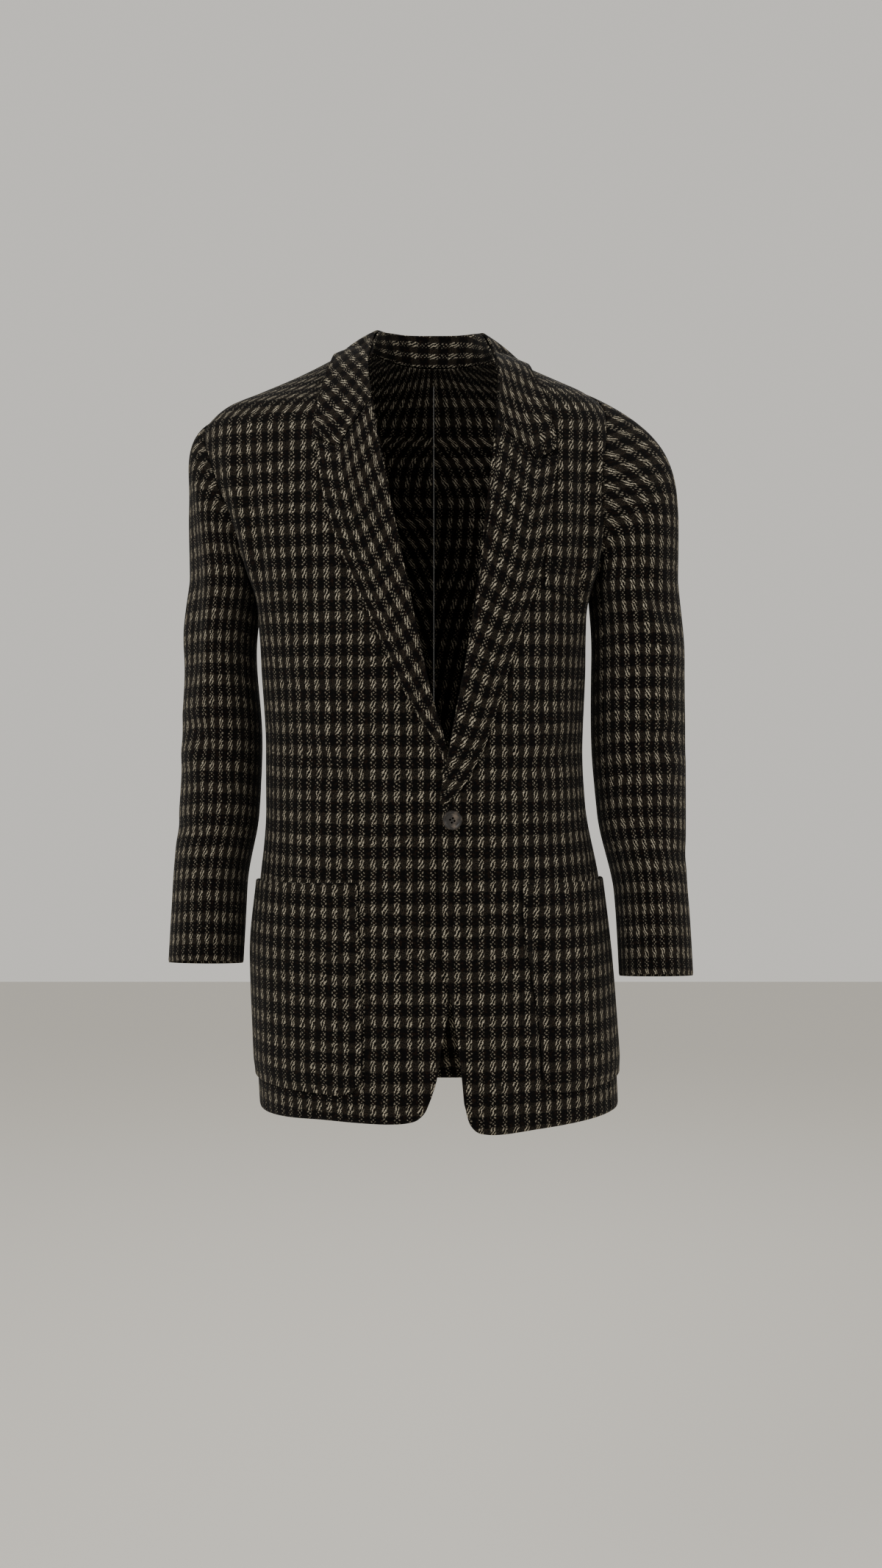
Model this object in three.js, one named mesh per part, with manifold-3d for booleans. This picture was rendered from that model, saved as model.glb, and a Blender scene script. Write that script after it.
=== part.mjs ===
// A single-breasted notch-lapel jacket in tweed, worn and hollow.
// Millimetres, +Z up, front towards -Y, the wearer's left towards +X.
// The origin is the middle of the neck, level with the base of the collar, where the wearer holds it.

import * as THREE from 'three';
import Module from 'manifold-3d';
import { mergeVertices } from 'three/addons/utils/BufferGeometryUtils.js';

const WALL = 2; // thickness of the cloth
const SEAM = 0.3; // between neighbouring pieces
const LAYER = WALL + 0.8; // one piece lying on another
const CLEAR = 4.5; // between the sleeve's cloth and the body's side
const HEM = -777; // lower edge of the body
const SQUARE = 2.3; // how square a body section is: 2 is an ellipse
const SIDE_SEAM = 24 * Math.PI / 180; // the underarm panel reaches this far round, front and back
const UNDERARM = -222; // lowest point of the armhole
const RIGHT = -1; // the wearer's right is -X
const LEFT = 1;

const TWEED = new THREE.MeshStandardMaterial({ color: 0x4a4138, roughness: 0.95, metalness: 0 });
const HORN = new THREE.MeshStandardMaterial({ color: 0x1c1714, roughness: 0.45, metalness: 0 });

// ---------------------------------------------------------------- tables

const table = (names, ...rows) => rows.map((row) => Object.fromEntries(names.map((n, i) => [n, row[i]])));

/** A smooth curve through one column of a table, as a function of another that only rises or falls. */
function column(rows, by, name) {
  const k = rows.map((r) => [r[by], r[name]]).sort((p, q) => p[0] - q[0]);
  const step = k.slice(1).map((p, i) => (p[1] - k[i][1]) / (p[0] - k[i][0]));
  const slope = k.map((_, i) => {
    if (i === 0) return step[0];
    if (i === k.length - 1) return step[i - 1];
    if (step[i - 1] * step[i] <= 0) return 0;
    return 2 * step[i - 1] * step[i] / (step[i - 1] + step[i]);
  });
  return (at) => {
    let i = 0;
    while (i < k.length - 2 && at > k[i + 1][0]) i += 1;
    const wide = k[i + 1][0] - k[i][0];
    const t = (at - k[i][0]) / wide;
    if (t < 0) return k[0][1] + slope[0] * t * wide;
    if (t > 1) return k[i + 1][1] + slope[i + 1] * (t - 1) * wide;
    const [a, b] = [t * t * (3 - 2 * t), t * (1 - t)];
    return k[i][1] * (1 - a) + k[i + 1][1] * a + wide * b * (slope[i] * (1 - t) - slope[i + 1] * t);
  };
}

const smooth = (t) => {
  const c = Math.min(1, Math.max(0, t));
  return c * c * (3 - 2 * c);
};
const mix = (a, b, t) => a + (b - a) * t;

// Body sections: how far the cloth stands from the centre line to the right and left,
// how deep it is before and behind the shoulder seam, and how far the underarm is tucked in.
const BODY = table(['z', 'right', 'left', 'front', 'back', 'tuck'],
  [24, 64, 44, 16, 32, 0],
  [12, 97, 68, 30, 53, 0],
  [0, 121, 96, 44, 66, 0],
  [-14, 150, 129, 56, 76, 0],
  [-28, 182, 160, 65, 83, 0],
  [-42, 216, 178, 75, 90, 0],
  [-54, 231, 185, 82, 95, 0],
  [-66, 240, 189, 88, 99, 0],
  [-90, 243, 192, 99, 106, 0],
  [-125, 240, 193, 111, 112, 0],
  [-160, 228, 191, 121, 117, 14],
  [-200, 213, 185, 128, 119, 26],
  [-235, 203, 177, 131, 118, 24],
  [-275, 192, 169, 133, 115, 10],
  [-325, 183, 162, 133, 110, 2],
  [-400, 177, 158, 131, 104, 0],
  [-460, 177, 161, 131, 104, 0],
  [-540, 184, 176, 134, 109, 0],
  [-620, 191, 186, 138, 115, 0],
  [-700, 189, 192, 140, 119, 0],
  [-780, 185, 197, 141, 122, 0]);

const WIDTH = { [RIGHT]: column(BODY, 'z', 'right'), [LEFT]: column(BODY, 'z', 'left') };
const FRONT = column(BODY, 'z', 'front');
const BACK = column(BODY, 'z', 'back');
const TUCK = column(BODY, 'z', 'tuck');

// Edges of the two fronts: x of the front edge and roll line at each height.
const EDGE = {
  [RIGHT]: column(table(['z', 'x'],
    [-43, -63], [-104, -51], [-219, -27], [-339, -2], [-395, 14], [-440, 24], [-500, 26],
    [-560, 25], [-620, 21], [-657, 16], [-700, 8], [-728, 4], [-748, -2]), 'z', 'x'),
  [LEFT]: column(table(['z', 'x'],
    [-70, 65], [-122, 61], [-212, 48], [-300, 34], [-395, 16], [-456, 6], [-510, 5],
    [-560, 7], [-600, 10], [-659, 20], [-710, 27], [-752, 31]), 'z', 'x'),
};

// Each side's own heights: the roll line's top, the neck point, the shoulder tip, and where the
// front edge starts to round into the hem. The armhole swells to that angle, in degrees, and the
// sleeve's head leaves it by capReach and turns down by capDrop.
const SHAPE = {
  [RIGHT]: { side: RIGHT, rollTop: -43, neck: 21, tip: -58, corner: -748, swell: 29,
    capReach: 100, capDrop: 150 },
  [LEFT]: { side: LEFT, rollTop: -70, neck: 12, tip: -27, corner: -752, swell: 36,
    capReach: 290, capDrop: 310 },
};

// Lower edge of each front, as a share of the way from the front edge to the side seam.
const HEM_LINE = {
  [RIGHT]: table(['u', 'x', 'z'], [0, -2, -748], [0.07, -9, -763], [0.14, -20, -771], [0.22, -36, -773],
    [0.5, -96, -773]),
  [LEFT]: table(['u', 'x', 'z'], [0, 31, -752], [0.07, 37, -773], [0.14, 47, -782], [0.22, 62, -784],
    [0.5, 108, -781]),
};

// Neck edge of each front, from the roll line to the neck point.
const NECK = {
  [RIGHT]: column(table(['z', 'x'], [-43, -63], [-20, -66], [0, -69], [21, -72]), 'z', 'x'),
  [LEFT]: column(table(['z', 'x'], [-70, 65], [-40, 67], [-10, 67], [12, 68]), 'z', 'x'),
};
const NAPE = 8; // height of the back neck seam on the centre line

// ---------------------------------------------------------------- the body's surface

const squircle = (a) => (Math.abs(Math.cos(a)) ** SQUARE + Math.abs(Math.sin(a)) ** SQUARE) ** (-1 / SQUARE);

/** A point of the outer cloth: a is 90 degrees at the centre front, 0 at the side, -90 at the centre back. */
function bodyPoint(side, a, z) {
  const depth = a > 0 ? FRONT(z) : BACK(z);
  const y = -depth * squircle(a) * Math.sin(a);
  const across = WIDTH[side](z) * squircle(a) * Math.cos(a);
  const tuck = TUCK(z) * Math.max(0, 1 - (y / 75) ** 2) ** 2;
  return new THREE.Vector3(side * (across - tuck), y, z);
}

/** The angle at which the section at that height has that distance from the centre line. */
function angleAt(side, x, z) {
  const share = Math.min(1, Math.max(-1, side * x / WIDTH[side](z)));
  return Math.atan2((1 - Math.abs(share) ** SQUARE) ** (1 / SQUARE), share);
}

function normalOf(point, u, v, turned) {
  const e = 1e-3;
  const across = point(u + e, v).sub(point(u - e, v));
  const along = point(u, v + e).sub(point(u, v - e));
  return across.cross(along).normalize().multiplyScalar(turned);
}

function bodyNormal(side, a, z) {
  return normalOf((s, t) => bodyPoint(side, s, z + t * 400), a, 0, -side);
}

/** A point that lies off the cloth of the body, out along its normal. */
function offBody(side, a, z, out) {
  return bodyPoint(side, a, z).addScaledVector(bodyNormal(side, a, z), out);
}

/** The same for a place given from the front, by its x and z. */
const offFront = (side, x, z, out) => offBody(side, angleAt(side, x, z), z, out);

/** How far the lapped fronts move apart near the centre front, below the opening. */
function lap(side, x, z) {
  const low = smooth((-330 - z) / 60);
  const near = side === LEFT ? smooth((85 - x) / 50) : smooth((x + 50) / 40);
  return side * low * near * LAYER;
}

// ---------------------------------------------------------------- solids from sheets

/**
 * A closed wall of cloth on a grid of outer points, its inner face moved in along the normals.
 * A wall that is grown is thicker by that much on both faces.
 */
function wall(outer, normals, thickness = WALL, grown = 0) {
  const rows = outer.length;
  const cols = outer[0].length;
  const points = [];
  for (const lift of [grown, -thickness - grown]) {
    outer.forEach((row, j) => row.forEach((p, i) => points.push(p.clone().addScaledVector(normals[j][i], lift))));
  }
  const at = (j, i, layer) => layer * rows * cols + j * cols + i;
  const faces = [];
  const quad = (a, b, c, d) => faces.push([a, b, c], [a, c, d]);
  for (let j = 0; j < rows - 1; j += 1) {
    for (let i = 0; i < cols - 1; i += 1) {
      quad(at(j, i, 0), at(j, i + 1, 0), at(j + 1, i + 1, 0), at(j + 1, i, 0));
      quad(at(j, i, 1), at(j + 1, i, 1), at(j + 1, i + 1, 1), at(j, i + 1, 1));
    }
  }
  for (let i = 0; i < cols - 1; i += 1) {
    quad(at(0, i, 1), at(0, i + 1, 1), at(0, i + 1, 0), at(0, i, 0));
    quad(at(rows - 1, i, 0), at(rows - 1, i + 1, 0), at(rows - 1, i + 1, 1), at(rows - 1, i, 1));
  }
  for (let j = 0; j < rows - 1; j += 1) {
    quad(at(j, 0, 0), at(j + 1, 0, 0), at(j + 1, 0, 1), at(j, 0, 1));
    quad(at(j, cols - 1, 1), at(j + 1, cols - 1, 1), at(j + 1, cols - 1, 0), at(j, cols - 1, 0));
  }
  return closed(points, faces);
}

/** Geometry from points and faces, turned so that its faces point outwards. */
function closed(points, faces) {
  const volume = faces.reduce((sum, [a, b, c]) => sum + points[a].dot(points[b].clone().cross(points[c])), 0);
  const flip = volume < 0;
  const geometry = new THREE.BufferGeometry();
  geometry.setAttribute('position', new THREE.Float32BufferAttribute(points.flatMap((p) => p.toArray()), 3));
  geometry.setIndex(faces.flatMap(([a, b, c]) => (flip ? [a, c, b] : [a, b, c])));
  geometry.computeVertexNormals();
  return geometry;
}

/**
 * The middle of a patch from its four edges, each a function that gives [x, z]. The upper edge's
 * x fades by the power given, so that the columns below a shoulder keep clear of the armhole.
 */
function patch(inner, outer, lower, upper, power = 1) {
  return (u, v) => [0, 1].map((k) => {
    const t = k === 0 ? v ** power : v;
    return mix(inner(v)[k], outer(v)[k], u) + mix(lower(u)[k], upper(u)[k], t)
      - mix(mix(lower(0)[k], lower(1)[k], u), mix(upper(0)[k], upper(1)[k], u), t);
  });
}

const steps = (n, power = 1) => Array.from({ length: n + 1 }, (_, i) => 1 - (1 - i / n) ** power);
const ROWS = steps(16, 1.45); // closer together towards the shoulder

// ---------------------------------------------------------------- armhole and sleeve

/**
 * The armhole, as the angle and height of its points: w runs from 0 at the shoulder tip, down the
 * front to 0.4 at the front seam of the underarm panel, round it to 0.6, and up the back to 1.
 */
const FRONT_SEAM = 0.4;
const BACK_SEAM = 0.6;
const SEAM_RISE = 24; // the armhole is this much higher at the underarm panel's seams
function armhole(side, w) {
  const tip = SHAPE[side].tip;
  if (w > FRONT_SEAM && w < BACK_SEAM) {
    const t = (w - 0.5) / (0.5 - FRONT_SEAM);
    return { a: -t * SIDE_SEAM, z: UNDERARM + SEAM_RISE * t * t };
  }
  const front = w <= 0.5;
  const s = (front ? w : 1 - w) / FRONT_SEAM;
  const swell = 0.83 * (1 - (1 - s) ** 3);
  const widest = SHAPE[side].swell * Math.PI / 180;
  const a = mix(widest * swell / 0.83, SIDE_SEAM, s ** 3);
  return { a: front ? a : -a, z: mix(tip, UNDERARM + SEAM_RISE, s ** 1.15) };
}

/** The armhole's edge in space, with the cloth's normal and the direction out of the panel. */
function armEdge(side, w) {
  const at = (q) => {
    const { a, z } = armhole(side, (q + 1) % 1);
    return bodyPoint(side, a, z);
  };
  const { a, z } = armhole(side, w);
  const normal = bodyNormal(side, a, z);
  const run = at(w + 2e-3).sub(at(w - 2e-3)).normalize();
  return { point: at(w), normal, out: normal.clone().cross(run).multiplyScalar(side).normalize() };
}

// Sleeve rings from the armhole's foot to the cuff: centre, half width, half depth.
const SLEEVE = {
  [RIGHT]: table(['z', 'x', 'y', 'wide', 'deep'],
    [-225, -219, 8, 39, 73], [-300, -226, 9, 38, 72], [-390, -225, 8, 42, 69], [-470, -228, 1, 42, 64],
    [-545, -237, -8, 39, 59], [-626, -240, -22, 39, 54]),
  [LEFT]: table(['z', 'x', 'y', 'wide', 'deep'],
    [-225, 211, 4, 48, 78], [-300, 217, 6, 49, 74], [-390, 218, 6, 50, 70], [-470, 221, 1, 47, 64],
    [-555, 231, -8, 39, 59], [-640, 235, -22, 39, 54]),
};
const CUFF_TILT = 0.17; // the cuff's back hangs lower than its front, for each unit of depth
const CAP = 0.36; // share of the sleeve's length that is its head

/** A point of the sleeve moved out, where it has to be, to hang clear of the body's side. */
function beside(side, point) {
  const depth = point.y < 0 ? FRONT(point.z) : BACK(point.z);
  const share = Math.min(1, Math.abs(point.y) / depth);
  const tuck = TUCK(point.z) * Math.max(0, 1 - (point.y / 75) ** 2) ** 2;
  const body = WIDTH[side](point.z) * (1 - share ** SQUARE) ** (1 / SQUARE) - tuck;
  const least = body + CLEAR * smooth((UNDERARM + SEAM_RISE + 8 - point.z) / 25);
  if (point.z < UNDERARM + SEAM_RISE + 8 && side * point.x < least) point.setX(side * least);
  return point;
}

/** A point of the sleeve's cloth: w as on the armhole, t from 0 at the seam to 1 at the cuff. */
function sleevePoint(side) {
  const rows = SLEEVE[side];
  const by = Object.fromEntries(['x', 'y', 'wide', 'deep'].map((n) => [n, column(rows, 'z', n)]));
  const [top, cuff] = [rows[0].z, rows.at(-1).z];
  const ring = (w, z) => {
    const turn = 2 * Math.PI * w;
    const drop = CUFF_TILT * smooth((top - z) / (top - cuff)) * by.deep(z) * Math.sin(turn);
    return beside(side, new THREE.Vector3(
      by.x(z) + side * by.wide(z) * Math.cos(turn), by.y(z) - by.deep(z) * Math.sin(turn), z + drop));
  };
  return (w, t) => {
    if (t >= CAP) return ring(w, mix(top, cuff, (t - CAP) / (1 - CAP)));
    const edge = armEdge(side, w);
    const start = edge.point.clone().addScaledVector(edge.out, SEAM + 0.1).addScaledVector(edge.normal, 0.5);
    const end = ring(w, top);
    const high = Math.cos(Math.PI * w) ** 2;
    const leave = new THREE.Vector3(side * 0.93, 0, -0.37).multiplyScalar(high * SHAPE[side].capReach);
    const span = end.distanceTo(start);
    leave.z -= (1 - high) * 0.8 * span;
    const arrive = new THREE.Vector3(0, 0, -mix(0.8 * span, SHAPE[side].capDrop, high));
    const s = t / CAP;
    const [h, k] = [s * s * (3 - 2 * s), s * (1 - s)];
    return beside(side, start.multiplyScalar(1 - h).addScaledVector(end, h)
      .addScaledVector(leave, k * (1 - s)).addScaledVector(arrive, -k * s));
  };
}

const W_FRONT = steps(7).map((t) => t * FRONT_SEAM);
const W_UNDER = steps(4).map((t) => mix(FRONT_SEAM, BACK_SEAM, t));
const W_BACK = steps(7).map((t) => mix(BACK_SEAM, 1, t));
const UPPER_PLACES = [...W_BACK.slice(1, -1).map((w) => w - 1), ...W_FRONT];

/** One cut piece of a sleeve, between two places on the armhole. */
function sleevePiece(side, places, grown = 0) {
  const point = sleevePoint(side);
  const down = [...steps(5).map((t) => t * CAP), ...steps(8).slice(1).map((t) => mix(CAP, 1, t))];
  const trim = 0.0018;
  const w = places.map((q, i) => q + (i === 0 ? trim : 0) - (i === places.length - 1 ? trim : 0));
  const grid = down.map((t) => w.map((q) => point((q + 1) % 1, t)));
  const normals = down.map((t) => places.map((q) => normalOf((a, b) => point((a + 1) % 1, b), q,
    Math.min(0.998, Math.max(0.0012, t)), side)));
  return wall(grid, normals, WALL, grown);
}

// ---------------------------------------------------------------- body panels

const SHOULDER = steps(5);
const NECK_STEPS = steps(2);

const sideX = (side, z) => side * WIDTH[side](z) * squircle(SIDE_SEAM) * Math.cos(SIDE_SEAM);

/** Height of the shoulder seam's points, from the neck point to the tip. */
const shoulderZ = (side, t) => mix(SHAPE[side].neck, SHAPE[side].tip, t);

/** The upper edge of a front or back as [x, z]: neck, then shoulder, then armhole, as u goes 0 to 1. */
function upperEdge(side, neck, isFront) {
  const n = NECK_STEPS.length - 1;
  const m = SHOULDER.length - 1;
  const total = n + m + W_FRONT.length - 1;
  return (u) => {
    const k = u * total;
    if (k <= n) return neck(k / n);
    if (k <= n + m) {
      const z = shoulderZ(side, (k - n) / m);
      return [side * WIDTH[side](z), z];
    }
    const t = (k - n - m) / (total - n - m);
    const { a, z } = armhole(side, isFront ? t * FRONT_SEAM : 1 - t * (1 - BACK_SEAM));
    return [side * WIDTH[side](z) * squircle(a) * Math.cos(a), z];
  };
}

function panel(side, inner, lower, upper, isFront, lift) {
  const outerEdge = (v) => {
    const z = mix(HEM, UNDERARM + SEAM_RISE, v);
    return [sideX(side, z), z];
  };
  const flat = patch(inner, outerEdge, lower, upper, 3);
  const columns = steps(NECK_STEPS.length + SHOULDER.length + W_FRONT.length - 3);
  const place = (u, v) => {
    const [x, z] = flat(u, v);
    const least = 0.7 * SEAM / (isFront ? FRONT(z) : BACK(z));
    const most = SIDE_SEAM + 1.1 * SEAM / WIDTH[side](z);
    let a = Math.max(angleAt(side, x, z), least);
    if (u > 1 - 1e-9) a = most;
    return { a: isFront ? a : -a, x, z };
  };
  const places = ROWS.map((v) => columns.map((u) => place(u, v)));
  const grid = places.map((row) => row.map(({ a, x, z }) => offBody(side, a, z, lift(x, z))));
  const normals = places.map((row) => row.map(({ a, z }) => bodyNormal(side, a, z)));
  return wall(grid, normals);
}

function frontPanel(side) {
  const { rollTop, corner, neck } = SHAPE[side];
  const inner = (v) => {
    const z = mix(corner, rollTop, v);
    return [EDGE[side](z), z];
  };
  const hem = [...HEM_LINE[side], { u: 1, x: sideX(side, HEM), z: HEM }];
  const [hemX, hemZ] = [column(hem, 'u', 'x'), column(hem, 'u', 'z')];
  const neckEdge = (t) => {
    const z = mix(rollTop, neck, t);
    return [NECK[side](z), z];
  };
  return panel(side, inner, (u) => [hemX(u), hemZ(u)], upperEdge(side, neckEdge, true), true,
    (x, z) => lap(side, x, z));
}

function backPanel(side) {
  const centre = side * 0.6 * SEAM;
  const neckEdge = (t) => {
    const z = mix(NAPE, SHAPE[side].neck, t * t);
    return [mix(centre, NECK[side](SHAPE[side].neck), t), z];
  };
  return panel(side, (v) => [centre, mix(HEM, NAPE, v)], (u) => [mix(centre, sideX(side, HEM), u), HEM],
    upperEdge(side, neckEdge, false), false, () => 0);
}

function sidePanel(side) {
  const places = ROWS.map((v) => W_UNDER.map((w) => {
    const { a, z } = armhole(side, w);
    const edge = SIDE_SEAM - 1.1 * SEAM / WIDTH[side](z);
    const t = (w - 0.5) / (0.5 - FRONT_SEAM);
    const top = UNDERARM + SEAM_RISE * t * t;
    return { a: Math.min(edge, Math.max(-edge, -t * SIDE_SEAM)), z: mix(HEM, top, v) };
  }));
  const grid = places.map((row) => row.map(({ a, z }) => bodyPoint(side, a, z)));
  const normals = places.map((row) => row.map(({ a, z }) => bodyNormal(side, a, z)));
  return wall(grid, normals);
}

// ---------------------------------------------------------------- lapels and collar

// Gorge: from the roll line to the notch, then the lapel's tip and the collar's tip.
const GORGE = {
  [RIGHT]: { roll: [-63, -43], notch: [-95, -94], lapelTip: [-118, -89], collarTip: [-121, -84] },
  [LEFT]: { roll: [65, -70], notch: [104, -107], lapelTip: [127, -99], collarTip: [126, -94] },
};

// Outer edge of each lapel, down to where it meets the roll line.
const LAPEL_EDGE = {
  [RIGHT]: column(table(['z', 'x'], [-89, -118], [-120, -114], [-160, -105], [-200, -92], [-235, -77],
    [-273, -59], [-311, -42], [-360, -18], [-398, 6], [-425, 16]), 'z', 'x'),
  [LEFT]: column(table(['z', 'x'], [-99, 127], [-150, 119], [-204, 110], [-240, 101], [-279, 88],
    [-332, 71], [-384, 55], [-417, 40], [-438, 27], [-452, 13]), 'z', 'x'),
};
const LAPEL_END = { [RIGHT]: -425, [LEFT]: -452 };

/** The gorge and notch as [x, z], from the roll line to the tip. */
function gorgeLine(side, tip) {
  const { roll, notch } = GORGE[side];
  const end = GORGE[side][tip];
  return (u) => [0, 1].map((k) => (u < 0.6 ? mix(roll[k], notch[k], u / 0.6) : mix(notch[k], end[k], (u - 0.6) / 0.4)));
}

function lapelPiece(side) {
  const end = LAPEL_END[side];
  const gorge = gorgeLine(side, 'lapelTip');
  const inset = side * 0.5;
  const roll = (v) => {
    const z = mix(end, GORGE[side].roll[1] - 1.7, v);
    return [EDGE[side](z) + inset, z];
  };
  const outer = (v) => {
    const z = mix(end, GORGE[side].lapelTip[1] - 1.7, v);
    return [LAPEL_EDGE[side](z), z];
  };
  const upper = (u) => [gorge(u)[0], gorge(u)[1] - 1.7];
  const flat = patch(roll, outer, (u) => [mix(roll(0)[0], outer(0)[0], u), end], upper);
  const across = [0, 0.2, 0.4, 0.6, 0.8, 1];
  const places = steps(15).map((v) => across.map((u) => flat(u, v)));
  const grid = places.map((row) => row.map(([x, z]) => offFront(side, x, z, lap(side, x, z) + LAYER)));
  const normals = places.map((row) => row.map(([x, z]) => bodyNormal(side, angleAt(side, x, z), z)));
  return wall(grid, normals);
}

// The collar leaf at places from the gorge round to the nape: its fold, its middle and its outer edge.
// A y of null lies on the front cloth, and a y of 'back' lies on the back cloth.
const COLLAR = {
  [RIGHT]: table(['fold', 'middle', 'edge'],
    [[-63, null, -43], [-95, null, -94], [-121, null, -84]],
    [[-65, null, -22], [-92, null, -50], [-118, null, -58]],
    [[-67, null, 0], [-92, null, -18], [-114, null, -32]],
    [[-65, -24, 22], [-89, -22, 6], [-107, null, -7]],
    [[-61, -4, 38], [-83, 2, 27], [-99, 8, 14]],
    [[-49, 30, 42], [-68, 38, 25], [-84, 'back', 4]],
    [[-27, 52, 43], [-38, 64, 22], [-46, 'back', -6]]),
  [LEFT]: table(['fold', 'middle', 'edge'],
    [[65, null, -70], [104, null, -107], [126, null, -94]],
    [[67, null, -42], [94, null, -66], [121, null, -70]],
    [[68, null, -12], [92, null, -36], [115, null, -48]],
    [[64, -26, 12], [85, -26, -6], [104, null, -20]],
    [[55, -4, 34], [77, 2, 20], [93, 8, 5]],
    [[45, 30, 41], [64, 38, 22], [80, 'back', 0]],
    [[26, 52, 43], [37, 64, 22], [45, 'back', -8]]),
};
const NAPE_FOLD = [0, 60, 44];
const NAPE_MIDDLE = [0, 70, 21];
const NAPE_EDGE = [0, 'back', -10];
const LEAF = LAYER + 1.6; // how far the leaf lies off the body's cloth

function spread([x, y, z]) {
  const side = x < 0 ? RIGHT : LEFT;
  if (y === null) return offFront(side, x, z, LEAF);
  if (y === 'back') return offBody(side, -angleAt(side, x, z), z, LEAF);
  return new THREE.Vector3(x, y, z);
}

/** A point moved out, where it has to be, to lie at least that far off the body's cloth. */
function keepOff(point, least) {
  const side = point.x < 0 ? RIGHT : LEFT;
  for (let turn = 0; turn < 3 && point.z < SHAPE[side].neck - 1; turn += 1) {
    const depth = point.y < 0 ? FRONT(point.z) : BACK(point.z);
    const a = Math.atan2(-point.y / depth, Math.abs(point.x) / WIDTH[side](point.z));
    const normal = bodyNormal(side, a, point.z);
    const off = point.clone().sub(bodyPoint(side, a, point.z)).dot(normal);
    if (off < least) point.addScaledVector(normal, least - off);
  }
  return point;
}

function collarCurve(name, nape) {
  const places = [...COLLAR[RIGHT].map((r) => r[name]), nape, ...COLLAR[LEFT].map((r) => r[name]).reverse()];
  return new THREE.CatmullRomCurve3(places.map(spread), false, 'centripetal');
}
const FOLD = collarCurve('fold', NAPE_FOLD);
const MIDDLE = collarCurve('middle', NAPE_MIDDLE);
const LEAF_EDGE = collarCurve('edge', NAPE_EDGE);

/** The leaf: u from the right gorge to the left, v from the fold to the outer edge. */
function leafPoint(u, v) {
  const t = Math.min(1, Math.max(0, u));
  const [f, m, e] = [FOLD, MIDDLE, LEAF_EDGE].map((c) => c.getPoint(t));
  const straight = v < 0.6 ? f.clone().lerp(m, v / 0.6) : m.clone().lerp(e, (v - 0.6) / 0.4);
  const s = v < 0.6 ? v / 1.2 : 0.5 + (v - 0.6) / 0.8;
  const bent = f.clone().multiplyScalar((1 - s) * (1 - 2 * s)).addScaledVector(m, 4 * s * (1 - s))
    .addScaledVector(e, s * (2 * s - 1));
  const side = u < 0.5 ? u : 1 - u;
  return keepOff(straight.lerp(bent, smooth(side / 0.12)), LEAF);
}

function collarLeaf() {
  const along = steps(28).map((t) => mix(0, 1, t));
  const across = [0, 0.2, 0.4, 0.6, 0.8, 1];
  const grid = along.map((u) => across.map((v) => leafPoint(u, v)));
  const normals = along.map((u) => across.map((v) => normalOf(leafPoint,
    Math.min(0.998, Math.max(0.002, u)), Math.min(0.998, Math.max(0.002, v)), 1)));
  return wall(grid, normals);
}

/** The neckline in space: right front neck edge, back neck, left front neck edge. */
function necklinePoint(u) {
  const side = u < 0.5 ? RIGHT : LEFT;
  const t = 1 - Math.abs(2 * u - 1); // 0 at the front end, 1 at the nape
  const { rollTop, neck } = SHAPE[side];
  if (t < 0.55) {
    const z = mix(rollTop, neck, t / 0.55);
    return bodyPoint(side, angleAt(side, NECK[side](z), z), z);
  }
  const s = (t - 0.55) / 0.45;
  const z = mix(neck, NAPE, 1 - (1 - s) ** 2);
  return bodyPoint(side, -angleAt(side, mix(NECK[side](neck), 0, s), z), z);
}

const STAND_FROM = 0.2; // the stand starts this far along the neckline
const STAND_TO = 0.8;

function standPoint(u, v) {
  const base = necklinePoint(u);
  const t = 1 - Math.abs(2 * u - 1);
  const top = FOLD.getPoint(u < 0.5 ? mix(0.17, 0.5, (t - 0.4) / 0.6) : mix(0.83, 0.5, (t - 0.4) / 0.6));
  const centre = new THREE.Vector3(0, 5, 0);
  base.addScaledVector(centre.clone().sub(base).setZ(0).normalize(), 1.2);
  base.z += 0.8;
  top.addScaledVector(centre.clone().sub(top).setZ(0).normalize(), 3.2);
  top.z -= 1.6;
  return base.lerp(top, v);
}

function collarStand() {
  const along = steps(24).map((t) => mix(STAND_FROM, STAND_TO, t));
  const across = [0, 0.5, 1];
  const grid = along.map((u) => across.map((v) => standPoint(u, v)));
  const normals = along.map((u) => across.map((v) => normalOf(standPoint, u, v, -1)));
  return wall(grid, normals, 1.4);
}

// ---------------------------------------------------------------- pockets and welt

// Corners of each lower patch pocket, as its front edge's x at the top and foot, and its back edge's angle.
const POCKET = {
  [RIGHT]: { topX: -75, footX: -70, behind: -4, top: -531, topBehind: -540, foot: -747, footBehind: -742 },
  [LEFT]: { topX: 90, footX: 111, behind: -6, top: -533, topBehind: -538, foot: -747, footBehind: -741 },
};
const POCKET_CORNER = 22; // radius of the lower corners

function pocketPiece(side) {
  const p = POCKET[side];
  const width = 168;
  const place = (u, v) => {
    const nearCorner = Math.min(u, 1 - u) * width;
    const round = nearCorner < POCKET_CORNER
      ? POCKET_CORNER - Math.sqrt(POCKET_CORNER ** 2 - (POCKET_CORNER - nearCorner) ** 2) : 0;
    const foot = mix(p.foot, p.footBehind, u) + round;
    const z = mix(foot, mix(p.top, p.topBehind, u), v);
    const front = angleAt(side, mix(p.footX, p.topX, smooth(v * 1.1)), z);
    return { a: mix(front, p.behind * Math.PI / 180, u), z };
  };
  const across = [0, 0.03, 0.08, 0.17, 0.27, 0.37, 0.47, 0.57, 0.67, 0.77, 0.86, 0.93, 0.97, 1];
  const places = steps(9).map((v) => across.map((u) => place(u, v)));
  const grid = places.map((row) => row.map(({ a, z }) => offBody(side, a, z, LAYER + 0.35)));
  const normals = places.map((row) => row.map(({ a, z }) => bodyNormal(side, a, z)));
  return wall(grid, normals);
}

const WELT = { from: 112, to: 150, top: -212, topEnd: -222, height: 25 };

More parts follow.
